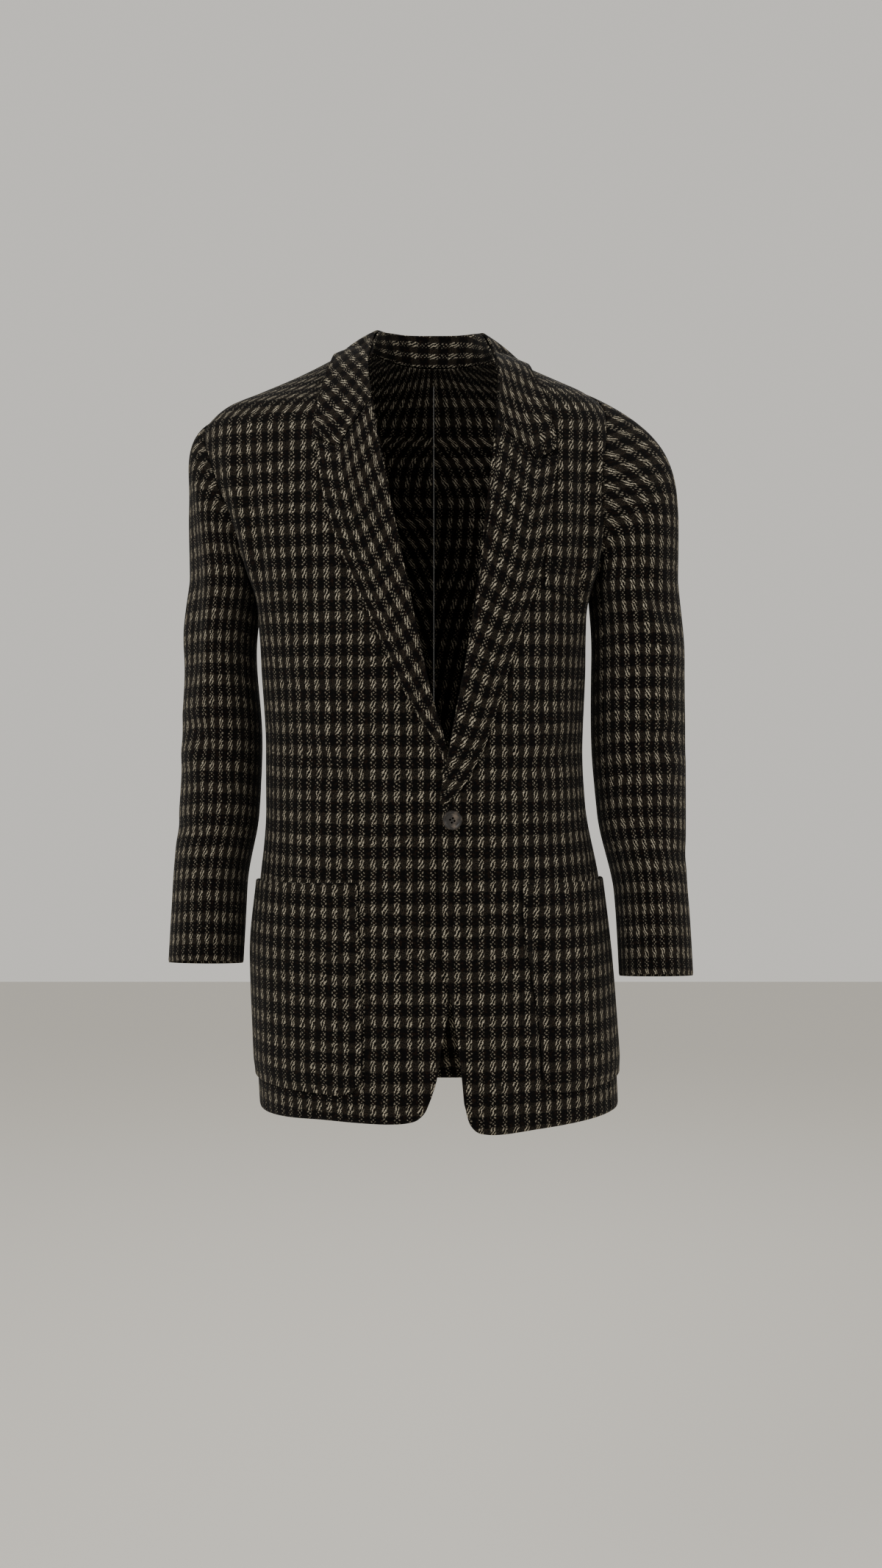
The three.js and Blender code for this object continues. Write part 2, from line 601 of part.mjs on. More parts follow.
function chestWelt() {
  const places = steps(2).map((v) => steps(5).map((u) => {
    const x = mix(WELT.from, WELT.to, u);
    return [x, mix(WELT.top, WELT.topEnd, u) - WELT.height * (1 - v)];
  }));
  const grid = places.map((row) => row.map(([x, z]) => offFront(LEFT, x, z, LAYER + 0.1)));
  const normals = places.map((row) => row.map(([x, z]) => bodyNormal(LEFT, angleAt(LEFT, x, z), z)));
  return wall(grid, normals);
}

// ---------------------------------------------------------------- button

const BUTTON = { x: 19, z: -468, radius: 10, thick: 4, holeRadius: 1.1, holeOut: 2.3 };

const wasm = await Module();
wasm.setup();

/** A closed geometry as a solid that can be cut. */
function solidOf(geometry) {
  const bare = geometry.clone();
  bare.deleteAttribute('normal');
  bare.deleteAttribute('uv');
  const merged = mergeVertices(bare, 1e-5);
  return new wasm.Manifold(new wasm.Mesh({
    numProp: 3,
    vertProperties: new Float32Array(merged.attributes.position.array),
    triVerts: new Uint32Array(merged.index.array),
  }));
}

function geometryOf(solid) {
  const mesh = solid.getMesh();
  const geometry = new THREE.BufferGeometry();
  geometry.setAttribute('position', new THREE.Float32BufferAttribute(mesh.vertProperties, 3));
  geometry.setIndex(Array.from(mesh.triVerts));
  geometry.computeVertexNormals();
  return geometry;
}

/** The under sleeve, cut clear of the upper one where they turn in below the armhole. */
function underSleeve(side) {
  const cut = solidOf(sleevePiece(side, [...W_UNDER, W_BACK[1]]))
    .subtract(solidOf(sleevePiece(side, UPPER_PLACES, 3 * SEAM)));
  const pieces = cut.decompose().sort((p, q) => q.volume() - p.volume());
  return geometryOf(pieces[0]);
}

/** A turned disc with a raised rim, a dished middle and four holes. */
function buttonGeometry() {
  const { radius, thick, holeRadius, holeOut } = BUTTON;
  const profile = [[0, 0], [radius - 1.2, 0], [radius, 1.4], [radius, thick - 1.2], [radius - 0.8, thick],
    [radius - 2, thick], [radius - 3.4, thick - 1.1], [0, thick - 1.3]].map(([r, y]) => new THREE.Vector2(r, y));
  let solid = solidOf(new THREE.LatheGeometry(profile, 28));
  for (const turn of [0.25, 0.75, 1.25, 1.75]) {
    const hole = new THREE.CylinderGeometry(holeRadius, holeRadius, 3 * thick, 10);
    hole.translate(holeOut * Math.cos(turn * Math.PI), 0, holeOut * Math.sin(turn * Math.PI));
    solid = solid.subtract(solidOf(hole));
  }
  return geometryOf(solid);
}

function buttonMesh() {
  const a = angleAt(LEFT, BUTTON.x, BUTTON.z);
  const mesh = new THREE.Mesh(buttonGeometry(), HORN);
  const normal = bodyNormal(LEFT, a, BUTTON.z);
  mesh.position.copy(offBody(LEFT, a, BUTTON.z, LAYER + 0.8));
  mesh.quaternion.setFromUnitVectors(new THREE.Vector3(0, 1, 0), normal);
  return mesh;
}

// ---------------------------------------------------------------- the jacket

const jacket = new THREE.Group();
jacket.name = 'jacket';

function add(name, geometry) {
  const mesh = new THREE.Mesh(geometry, TWEED);
  mesh.name = name;
  jacket.add(mesh);
}

for (const [side, word] of [[RIGHT, 'right'], [LEFT, 'left']]) {
  add(`front_${word}`, frontPanel(side));
  add(`side_${word}`, sidePanel(side));
  add(`back_${word}`, backPanel(side));
  add(`sleeve_upper_${word}`, sleevePiece(side, UPPER_PLACES));
  add(`sleeve_under_${word}`, underSleeve(side));
  add(`lapel_${word}`, lapelPiece(side));
  add(`pocket_${word}`, pocketPiece(side));
}
add('collar_leaf', collarLeaf());
add('collar_stand', collarStand());
add('chest_welt', chestWelt());
const button = buttonMesh();
button.name = 'front_button';
jacket.add(button);

export default jacket;
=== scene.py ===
"""A worn, hollow single-breasted jacket in hairy check tweed, with patch pockets and one horn button.

Millimetres inside this script, metres in Blender, +Z up, front towards -Y, the wearer's left towards +X.
"""

from __future__ import annotations

import logging
import math
from collections.abc import Callable
from dataclasses import dataclass, field
from enum import Enum

import bpy
import numpy as np
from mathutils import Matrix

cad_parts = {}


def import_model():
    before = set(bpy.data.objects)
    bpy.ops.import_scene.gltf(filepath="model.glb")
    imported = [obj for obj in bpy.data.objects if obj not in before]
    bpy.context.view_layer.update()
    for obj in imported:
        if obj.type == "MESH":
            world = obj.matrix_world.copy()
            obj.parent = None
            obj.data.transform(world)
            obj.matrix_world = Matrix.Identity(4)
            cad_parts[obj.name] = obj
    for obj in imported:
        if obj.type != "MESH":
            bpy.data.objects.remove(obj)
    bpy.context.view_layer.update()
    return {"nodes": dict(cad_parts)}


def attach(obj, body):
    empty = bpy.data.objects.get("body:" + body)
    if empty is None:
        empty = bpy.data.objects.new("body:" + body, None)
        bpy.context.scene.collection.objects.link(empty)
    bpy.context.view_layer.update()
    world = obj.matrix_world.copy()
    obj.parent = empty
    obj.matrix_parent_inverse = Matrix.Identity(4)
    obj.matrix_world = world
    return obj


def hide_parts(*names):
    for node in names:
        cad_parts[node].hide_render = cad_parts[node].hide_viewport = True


log = logging.getLogger("jacket")

Array = np.ndarray

WALL = 2.0
SEAM = 0.3
LAYER = WALL + 0.8
LEAF = LAYER + 1.6
CLEAR = 4.5
HEM = -777.0
SQUARE = 2.3
SIDE_SEAM = math.radians(24)
UNDERARM = -222.0
SEAM_RISE = 24.0
FRONT_SEAM = 0.4
BACK_SEAM = 0.6
CAP = 0.36
CUFF_TILT = 0.17
NAPE = 8.0
CENTRE_SEAM = 0.05  # from the centre line to each back and each front's furthest place
EDGE_TURN = 0.5  # how far a cut edge turns in from each face
SLEEVE_GIRTH = 350.0
STAND_WALL = 1.4
STAND_SPAN = (0.2, 0.8)  # share of the neckline that the stand covers
POCKET_WIDTH = 168.0
POCKET_CORNER = 22.0
POCKET_LIFT = LAYER + 0.35
POCKET_SAG = 1.8
WELT_LIFT = LAYER + 0.1
WELT_X = (112.0, 150.0)
WELT_TOP = (-212.0, -222.0)
WELT_HEIGHT = 25.0
LAPEL_PUFF = 2.2
GORGE_GAP = 1.7
LEAF_TILT = 0.35  # radians that the leaf's weave is turned


class Side(Enum):
    """Which side of the wearer, as the sign of its X."""

    RIGHT = -1
    LEFT = 1


def smooth(t: Array | float) -> Array:
    """3t2 - 2t3, with t kept within 0 to 1.

    Args:
        t: Any values.
    Returns:
        Values from 0 to 1.
    """
    c = np.clip(t, 0, 1)
    return c * c * (3 - 2 * c)


def mix(a: Array | float, b: Array | float, t: Array | float) -> Array:
    """Linear blend: a where t is 0 and b where t is 1.

    Args:
        a: Value at 0.
        b: Value at 1.
        t: Blend.
    Returns:
        The blend.
    """
    return a + (b - a) * t


def unit(v: Array) -> Array:
    """Vectors scaled to length 1 along the last axis.

    Args:
        v: Vectors.
    Returns:
        Unit vectors.
    """
    return v / np.maximum(np.linalg.norm(v, axis=-1, keepdims=True), 1e-9)


class Column:
    """A smooth curve through (at, value) pairs whose slopes are harmonic means of its steps."""

    def __init__(self, *pairs: tuple[float, float]) -> None:
        """Sort the pairs and find the slopes.

        Args:
            pairs: Where, and the value there.
        """
        k = np.array(sorted(pairs), dtype=float)
        self.at, self.value = k[:, 0], k[:, 1]
        step = np.diff(self.value) / np.diff(self.at)
        slope = np.concatenate([step[:1], np.zeros(len(k) - 2), step[-1:]])
        same = step[:-1] * step[1:] > 0
        total = np.where(same, step[:-1] + step[1:], 1)
        slope[1:-1] = np.where(same, 2 * step[:-1] * step[1:] / total, 0)
        self.slope = slope

    def __call__(self, at: Array | float) -> Array:
        """Cubic Hermite between the pairs, and straight on beyond them.

        Args:
            at: Where.
        Returns:
            The values there.
        """
        at = np.asarray(at, dtype=float)
        i = np.clip(np.searchsorted(self.at, at, side="left") - 1, 0, len(self.at) - 2)
        wide = self.at[i + 1] - self.at[i]
        raw = (at - self.at[i]) / wide
        t = np.clip(raw, 0, 1)
        a, b = t * t * (3 - 2 * t), t * (1 - t)
        inside = (self.value[i] * (1 - a) + self.value[i + 1] * a
                  + wide * b * (self.slope[i] * (1 - t) - self.slope[i + 1] * t))
        return (inside + np.minimum(raw, 0) * wide * self.slope[i]
                + np.maximum(raw - 1, 0) * wide * self.slope[i + 1])


def columns(rows: list[tuple[float, ...]]) -> list[Column]:
    """One curve for each column of a table after its first.

    Args:
        rows: The table, its first column the place.
    Returns:
        The curves.
    """
    return [Column(*[(r[0], r[k]) for r in rows]) for k in range(1, len(rows[0]))]


# z, right, left, front, back, tuck: how far the cloth stands out at each height.
BODY = [
    (24, 64, 44, 16, 32, 0), (12, 97, 68, 30, 53, 0), (0, 121, 96, 44, 66, 0), (-14, 150, 129, 56, 76, 0),
    (-28, 182, 160, 65, 83, 0), (-42, 216, 178, 75, 90, 0), (-54, 231, 185, 82, 95, 0),
    (-66, 240, 189, 88, 99, 0), (-90, 243, 192, 99, 106, 0), (-125, 240, 193, 111, 112, 0),
    (-160, 228, 191, 121, 117, 14), (-200, 213, 185, 128, 119, 26), (-235, 203, 177, 131, 118, 24),
    (-275, 192, 169, 133, 115, 10), (-325, 183, 162, 133, 110, 2), (-400, 177, 158, 131, 104, 0),
    (-460, 177, 161, 131, 104, 0), (-540, 184, 176, 134, 109, 0), (-620, 191, 186, 138, 115, 0),
    (-700, 189, 192, 140, 119, 0), (-780, 185, 197, 141, 122, 0)]
_RIGHT_W, _LEFT_W, FRONT, BACK, TUCK = columns(BODY)
WIDTH = {Side.RIGHT: _RIGHT_W, Side.LEFT: _LEFT_W}


def squircle(a: Array) -> Array:
    """Radius of a squared circle at an angle.

    Args:
        a: Angles in radians.
    Returns:
        Radii, 1 on the axes.
    """
    return (np.abs(np.cos(a)) ** SQUARE + np.abs(np.sin(a)) ** SQUARE) ** (-1 / SQUARE)


def body_point(side: Side, a: Array, z: Array) -> Array:
    """A point of the body's cloth: a squared ellipse at each height, tucked in under the arm.

    Args:
        side: Which half.
        a: Angle, 90 degrees at the centre front and -90 at the centre back.
        z: Height.
    Returns:
        Points.
    """
    a, z = np.broadcast_arrays(np.asarray(a, float), np.asarray(z, float))
    y = -np.where(a > 0, FRONT(z), BACK(z)) * squircle(a) * np.sin(a)
    across = WIDTH[side](z) * squircle(a) * np.cos(a)
    tuck = TUCK(z) * np.maximum(0, 1 - (y / 75) ** 2) ** 2
    return np.stack([side.value * (across - tuck), y, z], axis=-1)


def angle_at(side: Side, x: Array, z: Array) -> Array:
    """The angle at which the section at that height has that x.

    Args:
        side: Which half.
        x: Distance from the centre line, signed.
        z: Height.
    Returns:
        Angles.
    """
    share = np.clip(side.value * x / WIDTH[side](z), -1, 1)
    return np.arctan2((1 - np.abs(share) ** SQUARE) ** (1 / SQUARE), share)


def normals_of(point: Callable[[Array, Array], Array], u: Array, v: Array, turned: float) -> Array:
    """Normals of a surface from its small differences.

    Args:
        point: The surface.
        u: First parameter.
        v: Second parameter.
        turned: 1 or -1.
    Returns:
        Unit normals.
    """
    e = 1e-3
    return unit(np.cross(point(u + e, v) - point(u - e, v), point(u, v + e) - point(u, v - e))) * turned


def body_normal(side: Side, a: Array, z: Array) -> Array:
    """Outward normal of the body's cloth.

    Args:
        side: Which half.
        a: Angle.
        z: Height.
    Returns:
        Unit normals.
    """
    return normals_of(lambda s, t: body_point(side, s, z + t * 400), a, np.zeros_like(z), -side.value)


def off_body(side: Side, a: Array, z: Array, out: Array | float) -> Array:
    """A point that lies off the body's cloth along its normal, creases included.

    Args:
        side: Which half.
        a: Angle.
        z: Height.
        out: How far off.
    Returns:
        Points.
    """
    point = body_point(side, a, z)
    lift = np.asarray(out) + crease_depth(BODY_CREASES, point)
    return point + body_normal(side, a, z) * lift[..., None]


# ---------------------------------------------------------------- creases


@dataclass(frozen=True)
class Crease:
    """A soft fold along a line seen from the front or back: a ridge beside a valley, fading at its ends."""

    start: tuple[float, float]  # x, z
    end: tuple[float, float]
    width: float
    depth: float  # minus is a valley
    back: bool = False


BODY_CREASES = (
    Crease((176, -80), (158, -240), 11, 5.0), Crease((156, -90), (140, -260), 10, -4.5),
    Crease((96, -565), (112, -730), 8, -5.0), Crease((84, -560), (98, -735), 9, 2.5),
    Crease((-80, -570), (-76, -720), 8, -2.5), Crease((12, -500), (16, -700), 5, -1.6),
    Crease((-20, -480), (-130, -395), 13, -3.2), Crease((-30, -455), (-120, -360), 14, 2.4),
    Crease((40, -470), (140, -400), 13, -3.0), Crease((45, -448), (130, -365), 14, 2.2),
    Crease((-214, -90), (-190, -230), 9, 3.0), Crease((-196, -100), (-176, -250), 9, -3.0),
    Crease((-60, -700), (-52, -785), 20, 2.6), Crease((-120, -740), (-116, -785), 22, -2.2),
    Crease((70, -740), (74, -785), 20, 1.8), Crease((-30, -60), (-120, -180), 30, 1.5),
    Crease((30, -360), (110, -330), 16, 1.6), Crease((-150, -300), (-80, -350), 15, 1.8),
    Crease((-160, -330), (-60, -372), 14, -3.0, True), Crease((150, -335), (40, -380), 14, -3.0, True),
    Crease((-150, -300), (-50, -330), 16, 2.4, True), Crease((140, -300), (30, -345), 16, 2.2, True),
    Crease((-150, -120), (-138, -240), 10, -3.6, True), Crease((140, -110), (134, -240), 10, -3.6, True),
    Crease((-90, -60), (90, -72), 22, -1.8, True), Crease((-60, -560), (-70, -780), 26, 2.6, True),
    Crease((50, -540), (66, -780), 24, 2.4, True), Crease((8, -600), (4, -780), 22, -2.4, True))

SLEEVE_CREASES = (
    Crease((-262, -110), (-250, -330), 10, -4.5), Crease((-282, -130), (-272, -300), 13, 3.4),
    Crease((-255, -370), (-205, -430), 11, -4.0), Crease((-262, -400), (-208, -462), 12, 3.0),
    Crease((-270, -480), (-215, -500), 12, -2.6), Crease((-245, -540), (-225, -640), 12, 2.0),
    Crease((190, -200), (245, -270), 12, -3.6), Crease((192, -230), (250, -310), 13, 3.0),
    Crease((250, -380), (190, -430), 11, -4.0), Crease((255, -410), (200, -460), 12, 3.0),
    Crease((215, -480), (262, -520), 12, -2.6), Crease((232, -540), (240, -650), 12, 2.0),
    Crease((-250, -120), (-236, -300), 13, -3.4, True), Crease((230, -120), (232, -300), 13, -3.4, True),
    Crease((-262, -360), (-200, -410), 13, 3.2, True), Crease((260, -365), (190, -415), 13, 3.0, True),
    Crease((-262, -395), (-200, -445), 12, -3.8, True), Crease((262, -400), (190, -450), 12, -3.8, True))


def crease_depth(creases: tuple[Crease, ...], point: Array) -> Array:
    """Sum of the creases at points: each a bell across its line that fades beyond its ends.

    Args:
        creases: The folds.
        point: Points of the cloth.
    Returns:
        Lift along the normal in mm, with a slow unevenness of up to 0.55 mm.
    """
    x, y, z = point[..., 0], point[..., 1], point[..., 2]
    total = 0.55 * np.sin(x / 31 + 2.1 * np.sin(z / 83)) * np.sin(z / 47 + x / 90 + y / 60)
    for c in creases:
        (ax, az), (bx, bz) = c.start, c.end
        dx, dz = bx - ax, bz - az
        length = math.hypot(dx, dz)
        along = ((x - ax) * dx + (z - az) * dz) / length ** 2
        bend = 0.08 * length * np.sin(math.pi * np.clip(along, 0, 1))
        across = ((x - ax) * dz - (z - az) * dx) / length + bend * 0.5
        ends = smooth((along + 0.18) / 0.36) * smooth((1.18 - along) / 0.36)
        facing = smooth((y if c.back else -y) / 30 + 0.5)
        total = total + c.depth * np.exp(-(across / c.width) ** 2) * ends * facing
    return total


# ---------------------------------------------------------------- edges of the pieces

EDGE = {
    Side.RIGHT: Column((-43, -63), (-104, -51), (-219, -27), (-339, -2), (-395, 14), (-440, 24), (-500, 26),
                       (-560, 25), (-620, 21), (-657, 16), (-700, 8), (-728, 4), (-748, -2)),
    Side.LEFT: Column((-70, 65), (-122, 61), (-212, 48), (-300, 34), (-395, 16), (-456, 6), (-510, 5),
                      (-560, 7), (-600, 10), (-659, 20), (-710, 27), (-752, 31))}


@dataclass(frozen=True)
class Shape:
    """A side's own heights, and how its sleeve head leaves the armhole and turns down."""

    roll_top: float
    neck: float
    tip: float
    corner: float
    swell: float
    cap_reach: float
    cap_drop: float


SHAPE = {Side.RIGHT: Shape(-43, 21, -58, -748, 29, 100, 150),
         Side.LEFT: Shape(-70, 12, -27, -752, 36, 290, 310)}
HEM_LINE = {
    Side.RIGHT: [(0, -2, -748), (0.07, -9, -763), (0.14, -20, -771), (0.22, -36, -773), (0.5, -96, -773)],
    Side.LEFT: [(0, 31, -752), (0.07, 37, -773), (0.14, 47, -782), (0.22, 62, -784), (0.5, 108, -781)]}
NECK = {Side.RIGHT: Column((-43, -63), (-20, -66), (0, -69), (21, -72)),
        Side.LEFT: Column((-70, 65), (-40, 67), (-10, 67), (12, 68))}
GORGE = {Side.RIGHT: ((-63, -43), (-95, -94), (-118, -89)), Side.LEFT: ((65, -70), (104, -107), (127, -99))}
LAPEL_EDGE = {
    Side.RIGHT: Column((-89, -118), (-120, -114), (-160, -105), (-200, -92), (-235, -77), (-273, -59),
                       (-311, -42), (-360, -18), (-398, 6), (-425, 16)),
    Side.LEFT: Column((-99, 127), (-150, 119), (-204, 110), (-240, 101), (-279, 88), (-332, 71), (-384, 55),
                      (-417, 40), (-438, 27), (-452, 13))}
LAPEL_END = {Side.RIGHT: -425.0, Side.LEFT: -452.0}


def lap(side: Side, x: Array, z: Array) -> Array:
    """How far the lapped fronts move apart near the centre front.

    Args:
        side: Which half.
        x: Across.
        z: Height.
    Returns:
        Distance along the normal.
    """
    near = smooth((85 - x) / 50) if side is Side.LEFT else smooth((x + 50) / 40)
    return side.value * smooth((-330 - z) / 60) * near * LAYER


def armhole(side: Side, w: Array) -> tuple[Array, Array]:
    """Angle and height of the armhole: front from 0 to 0.4, underarm to 0.6, back to 1.

    Args:
        side: Which half.
        w: Places.
    Returns:
        Angles and heights.
    """
    w = np.asarray(w, float)
    t = (w - 0.5) / (0.5 - FRONT_SEAM)
    s = np.clip(np.where(w <= 0.5, w, 1 - w) / FRONT_SEAM, 0, 1)
    widest = math.radians(SHAPE[side].swell)
    a = mix(widest * (1 - (1 - s) ** 3), SIDE_SEAM, s ** 3)
    under = (w > FRONT_SEAM) & (w < BACK_SEAM)
    return (np.where(under, -t * SIDE_SEAM, np.where(w <= 0.5, a, -a)),
            np.where(under, UNDERARM + SEAM_RISE * t * t,
                     mix(SHAPE[side].tip, UNDERARM + SEAM_RISE, s ** 1.15)))


# z, x, y, half width, half depth of each sleeve's rings.
SLEEVE = {
    Side.RIGHT: [(-225, -219, 8, 39, 73), (-300, -226, 9, 38, 72), (-390, -225, 8, 42, 69),
                 (-470, -228, 1, 42, 64), (-545, -237, -8, 39, 59), (-626, -240, -22, 39, 54)],
    Side.LEFT: [(-225, 211, 4, 48, 78), (-300, 217, 6, 49, 74), (-390, 218, 6, 50, 70), (-470, 221, 1, 47, 64),
                (-555, 231, -8, 39, 59), (-640, 235, -22, 39, 54)]}


def beside(side: Side, point: Array) -> Array:
    """Points moved out, where they have to be, to hang clear of the body's side.

    Args:
        side: Which half.
        point: Points of the sleeve.
    Returns:
        Points.
    """
    x, y, z = point[..., 0], point[..., 1], point[..., 2]
    share = np.minimum(1, np.abs(y) / np.where(y < 0, FRONT(z), BACK(z)))
    tuck = TUCK(z) * np.maximum(0, 1 - (y / 75) ** 2) ** 2
    body = WIDTH[side](z) * (1 - share ** SQUARE) ** (1 / SQUARE) - tuck
    low = UNDERARM + SEAM_RISE + 8
    least = body + CLEAR * smooth((low - z) / 25)
    inside = (z < low) & (side.value * x < least)
    return np.stack([np.where(inside, side.value * least, x), y, z], axis=-1)


def sleeve_point(side: Side, w: Array, t: Array) -> Array:
    """A point of a sleeve: a Hermite head from the armhole's edge to the first ring, then rings to the cuff.

    Args:
        side: Which half.
        w: Place round, as on the armhole.
        t: From 0 at the seam to 1 at the cuff.
    Returns:
        Points.
    """
    rows = SLEEVE[side]
    cx, cy, wide, deep = columns(rows)
    top, cuff = rows[0][0], rows[-1][0]
    w, t = np.broadcast_arrays(np.asarray(w, float) % 1, np.asarray(t, float))

    def ring(z: Array) -> Array:
        """One ring of the sleeve at a height, its back lower than its front towards the cuff."""
        turn = 2 * np.pi * w
        drop = CUFF_TILT * smooth((top - z) / (top - cuff)) * deep(z) * np.sin(turn)
        return beside(side, np.stack(
            [cx(z) + side.value * wide(z) * np.cos(turn), cy(z) - deep(z) * np.sin(turn), z + drop], axis=-1))

    def edge(q: Array) -> Array:
        """The armhole's edge in space."""
        return body_point(side, *armhole(side, q % 1))

    a, z = armhole(side, w)
    normal = body_normal(side, a, z)
    run = unit(edge(w + 2e-3) - edge(w - 2e-3))
    out = unit(np.cross(normal, run) * side.value)
    start = edge(w) + out * (SEAM + 0.1) + normal * 0.5
    end = ring(np.full_like(w, top))
    high = (np.cos(np.pi * w) ** 2)[..., None]
    span = np.linalg.norm(end - start, axis=-1, keepdims=True)
    down = np.array([0.0, 0.0, -1.0])
    leave = (np.array([side.value * 0.93, 0, -0.37]) * high * SHAPE[side].cap_reach
             + down * (1 - high) * 0.8 * span)
    arrive = down * mix(0.8 * span, SHAPE[side].cap_drop, high)
    s = np.clip(t / CAP, 0, 1)[..., None]
    h, k = s * s * (3 - 2 * s), s * (1 - s)
    head = beside(side, start * (1 - h) + end * h + leave * k * (1 - s) - arrive * k * s)
    rings = ring(mix(top, cuff, np.maximum(0, (t - CAP) / (1 - CAP))))
    return np.where((t >= CAP)[..., None], rings, head)


# ---------------------------------------------------------------- sheets of cloth


@dataclass
class Sheet:
    """A grid of outer points with normals and weave coordinates in mm, made into a closed wall of cloth."""

    name: str
    outer: Array
    normals: Array
    weave: Array
    node: str
    flat: tuple[float, float]
    area: float
    rests_on: tuple[str, ...] = ()
    thickness: float = WALL
    finish: str = "tweed"

    def build(self, material: bpy.types.Material) -> bpy.types.Object:
        """Make the wall: the outer grid, the same grid moved in by the thickness, and a rim of quads.

        The outer and inner grids' border vertices move half a millimetre in from their faces, so that each
        cut edge is softly rounded.

        Args:
            material: The cloth.
        Returns:
            The object.
        """
        rows, cols = self.outer.shape[:2]
        border = np.zeros((rows, cols))
        border[[0, -1], :] = 1
        border[:, [0, -1]] = 1
        lifts = [-EDGE_TURN * border, -self.thickness + EDGE_TURN * border]
        points = np.concatenate([(self.outer + self.normals * k[..., None]).reshape(-1, 3) for k in lifts])
        at = np.arange(rows * cols).reshape(rows, cols)
        a, b, c, d = at[:-1, :-1], at[:-1, 1:], at[1:, 1:], at[1:, :-1]
        face = np.stack([a, b, c, d], axis=-1).reshape(-1, 4)
        loop = np.concatenate([at[0, :-1], at[:-1, -1], at[-1, :0:-1], at[:0:-1, 0]])
        after, count = np.roll(loop, -1), rows * cols
        rim = np.stack([loop, loop + count, after + count, after], axis=-1)
        faces = np.concatenate([face, face[:, ::-1] + count, rim])
        p, q, r, s = (points[faces[:, k]] for k in range(4))
        volume = (np.einsum("ij,ij->i", p, np.cross(q, r)).sum()
                  + np.einsum("ij,ij->i", p, np.cross(r, s)).sum())
        faces = faces if volume > 0 else faces[:, ::-1]
        mesh = bpy.data.meshes.new(self.name)
        mesh.from_pydata((points / 1000).tolist(), [], faces.tolist())
        mesh.polygons.foreach_set("use_smooth", np.ones(len(mesh.polygons), dtype=bool))
        weave = np.concatenate([self.weave.reshape(-1, 2)] * 2) / 1000
        used = np.empty(len(mesh.loops), dtype=np.int32)
        mesh.loops.foreach_get("vertex_index", used)
        mesh.uv_layers.new(name="weave").data.foreach_set("uv", weave[used].astype(np.float32).ravel())
        mesh.materials.append(material)
        mesh.update()
        obj = bpy.data.objects.new(self.name, mesh)
        bpy.context.collection.objects.link(obj)
        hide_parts(self.node)
        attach(obj, "root")
        return obj


def measured(name: str, outer: Array, normals: Array, weave: Array, node: str, rests_on: tuple[str, ...] = (),
             thickness: float = WALL) -> Sheet:
    """A sheet whose flat cut is its own unrolled size: widest row, longest column and surface area.

    Args:
        name: Name.
        outer: Outer points.
        normals: Outward normals.
        weave: Weave coordinates in mm.
        node: The CAD node it stands for.
        rests_on: What it hangs on.
        thickness: Wall.
    Returns:
        The sheet.
    """
    across = np.linalg.norm(np.diff(outer, axis=1), axis=-1).sum(axis=1).max()
    along = np.linalg.norm(np.diff(outer, axis=0), axis=-1).sum(axis=0).max()
    one, two = outer[1:, 1:] - outer[:-1, :-1], outer[1:, :-1] - outer[:-1, 1:]
    area = 0.5 * np.linalg.norm(np.cross(one, two), axis=-1).sum()
    flat = (float(across), float(along))
    return Sheet(name, outer, normals, weave, node, flat, float(area), rests_on, thickness)


def ramp(n: int) -> Array:
    """Steps from 0 to 1 with two close ones at each end, so that edges turn over softly.

    Args:
        n: How many steps.
    Returns:
        Places.
    """
    return np.unique(np.concatenate([np.linspace(0, 1, n + 1), [0.004, 0.012, 0.988, 0.996]]))


def body_weave(side: Side, a: Array, z: Array) -> Array:
    """Weave coordinates on the body: arc length round from the centre front (less beyond it) and up from z = -400.

    Args:
        side: Which half.
        a: Angles.
        z: Heights.
    Returns:
        Pairs in mm.
    """
    turn = np.linspace(0, 1, 25).reshape(-1, *[1] * np.ndim(a))
    middle = math.pi / 2
    ring = body_point(side, mix(middle, a, turn), np.minimum(z, -60) + 0 * turn)
    rise = body_point(side, a + 0 * turn, mix(-400, z, turn))
    u = np.linalg.norm(np.diff(ring, axis=0), axis=-1).sum(axis=0)
    v = np.linalg.norm(np.diff(rise, axis=0), axis=-1).sum(axis=0) * np.sign(z + 400)
    return np.stack([side.value * u * np.sign(middle - a), v], axis=-1)


def grid_weave(outer: Array, tilt: float = 0.0) -> Array:
    """Weave coordinates from a grid's own lengths, across and along, turned by an angle.

    Args:
        outer: Points.
        tilt: Radians.
    Returns:
        Pairs in mm.
    """
    u = np.cumsum(np.linalg.norm(np.diff(outer, axis=1, prepend=outer[:, :1]), axis=-1), axis=1)
    v = np.cumsum(np.linalg.norm(np.diff(outer, axis=0, prepend=outer[:1]), axis=-1), axis=0)
    v = v.mean(axis=1, keepdims=True) + 0 * u
    return np.stack([u * math.cos(tilt) - v * math.sin(tilt), u * math.sin(tilt) + v * math.cos(tilt)], axis=-1)


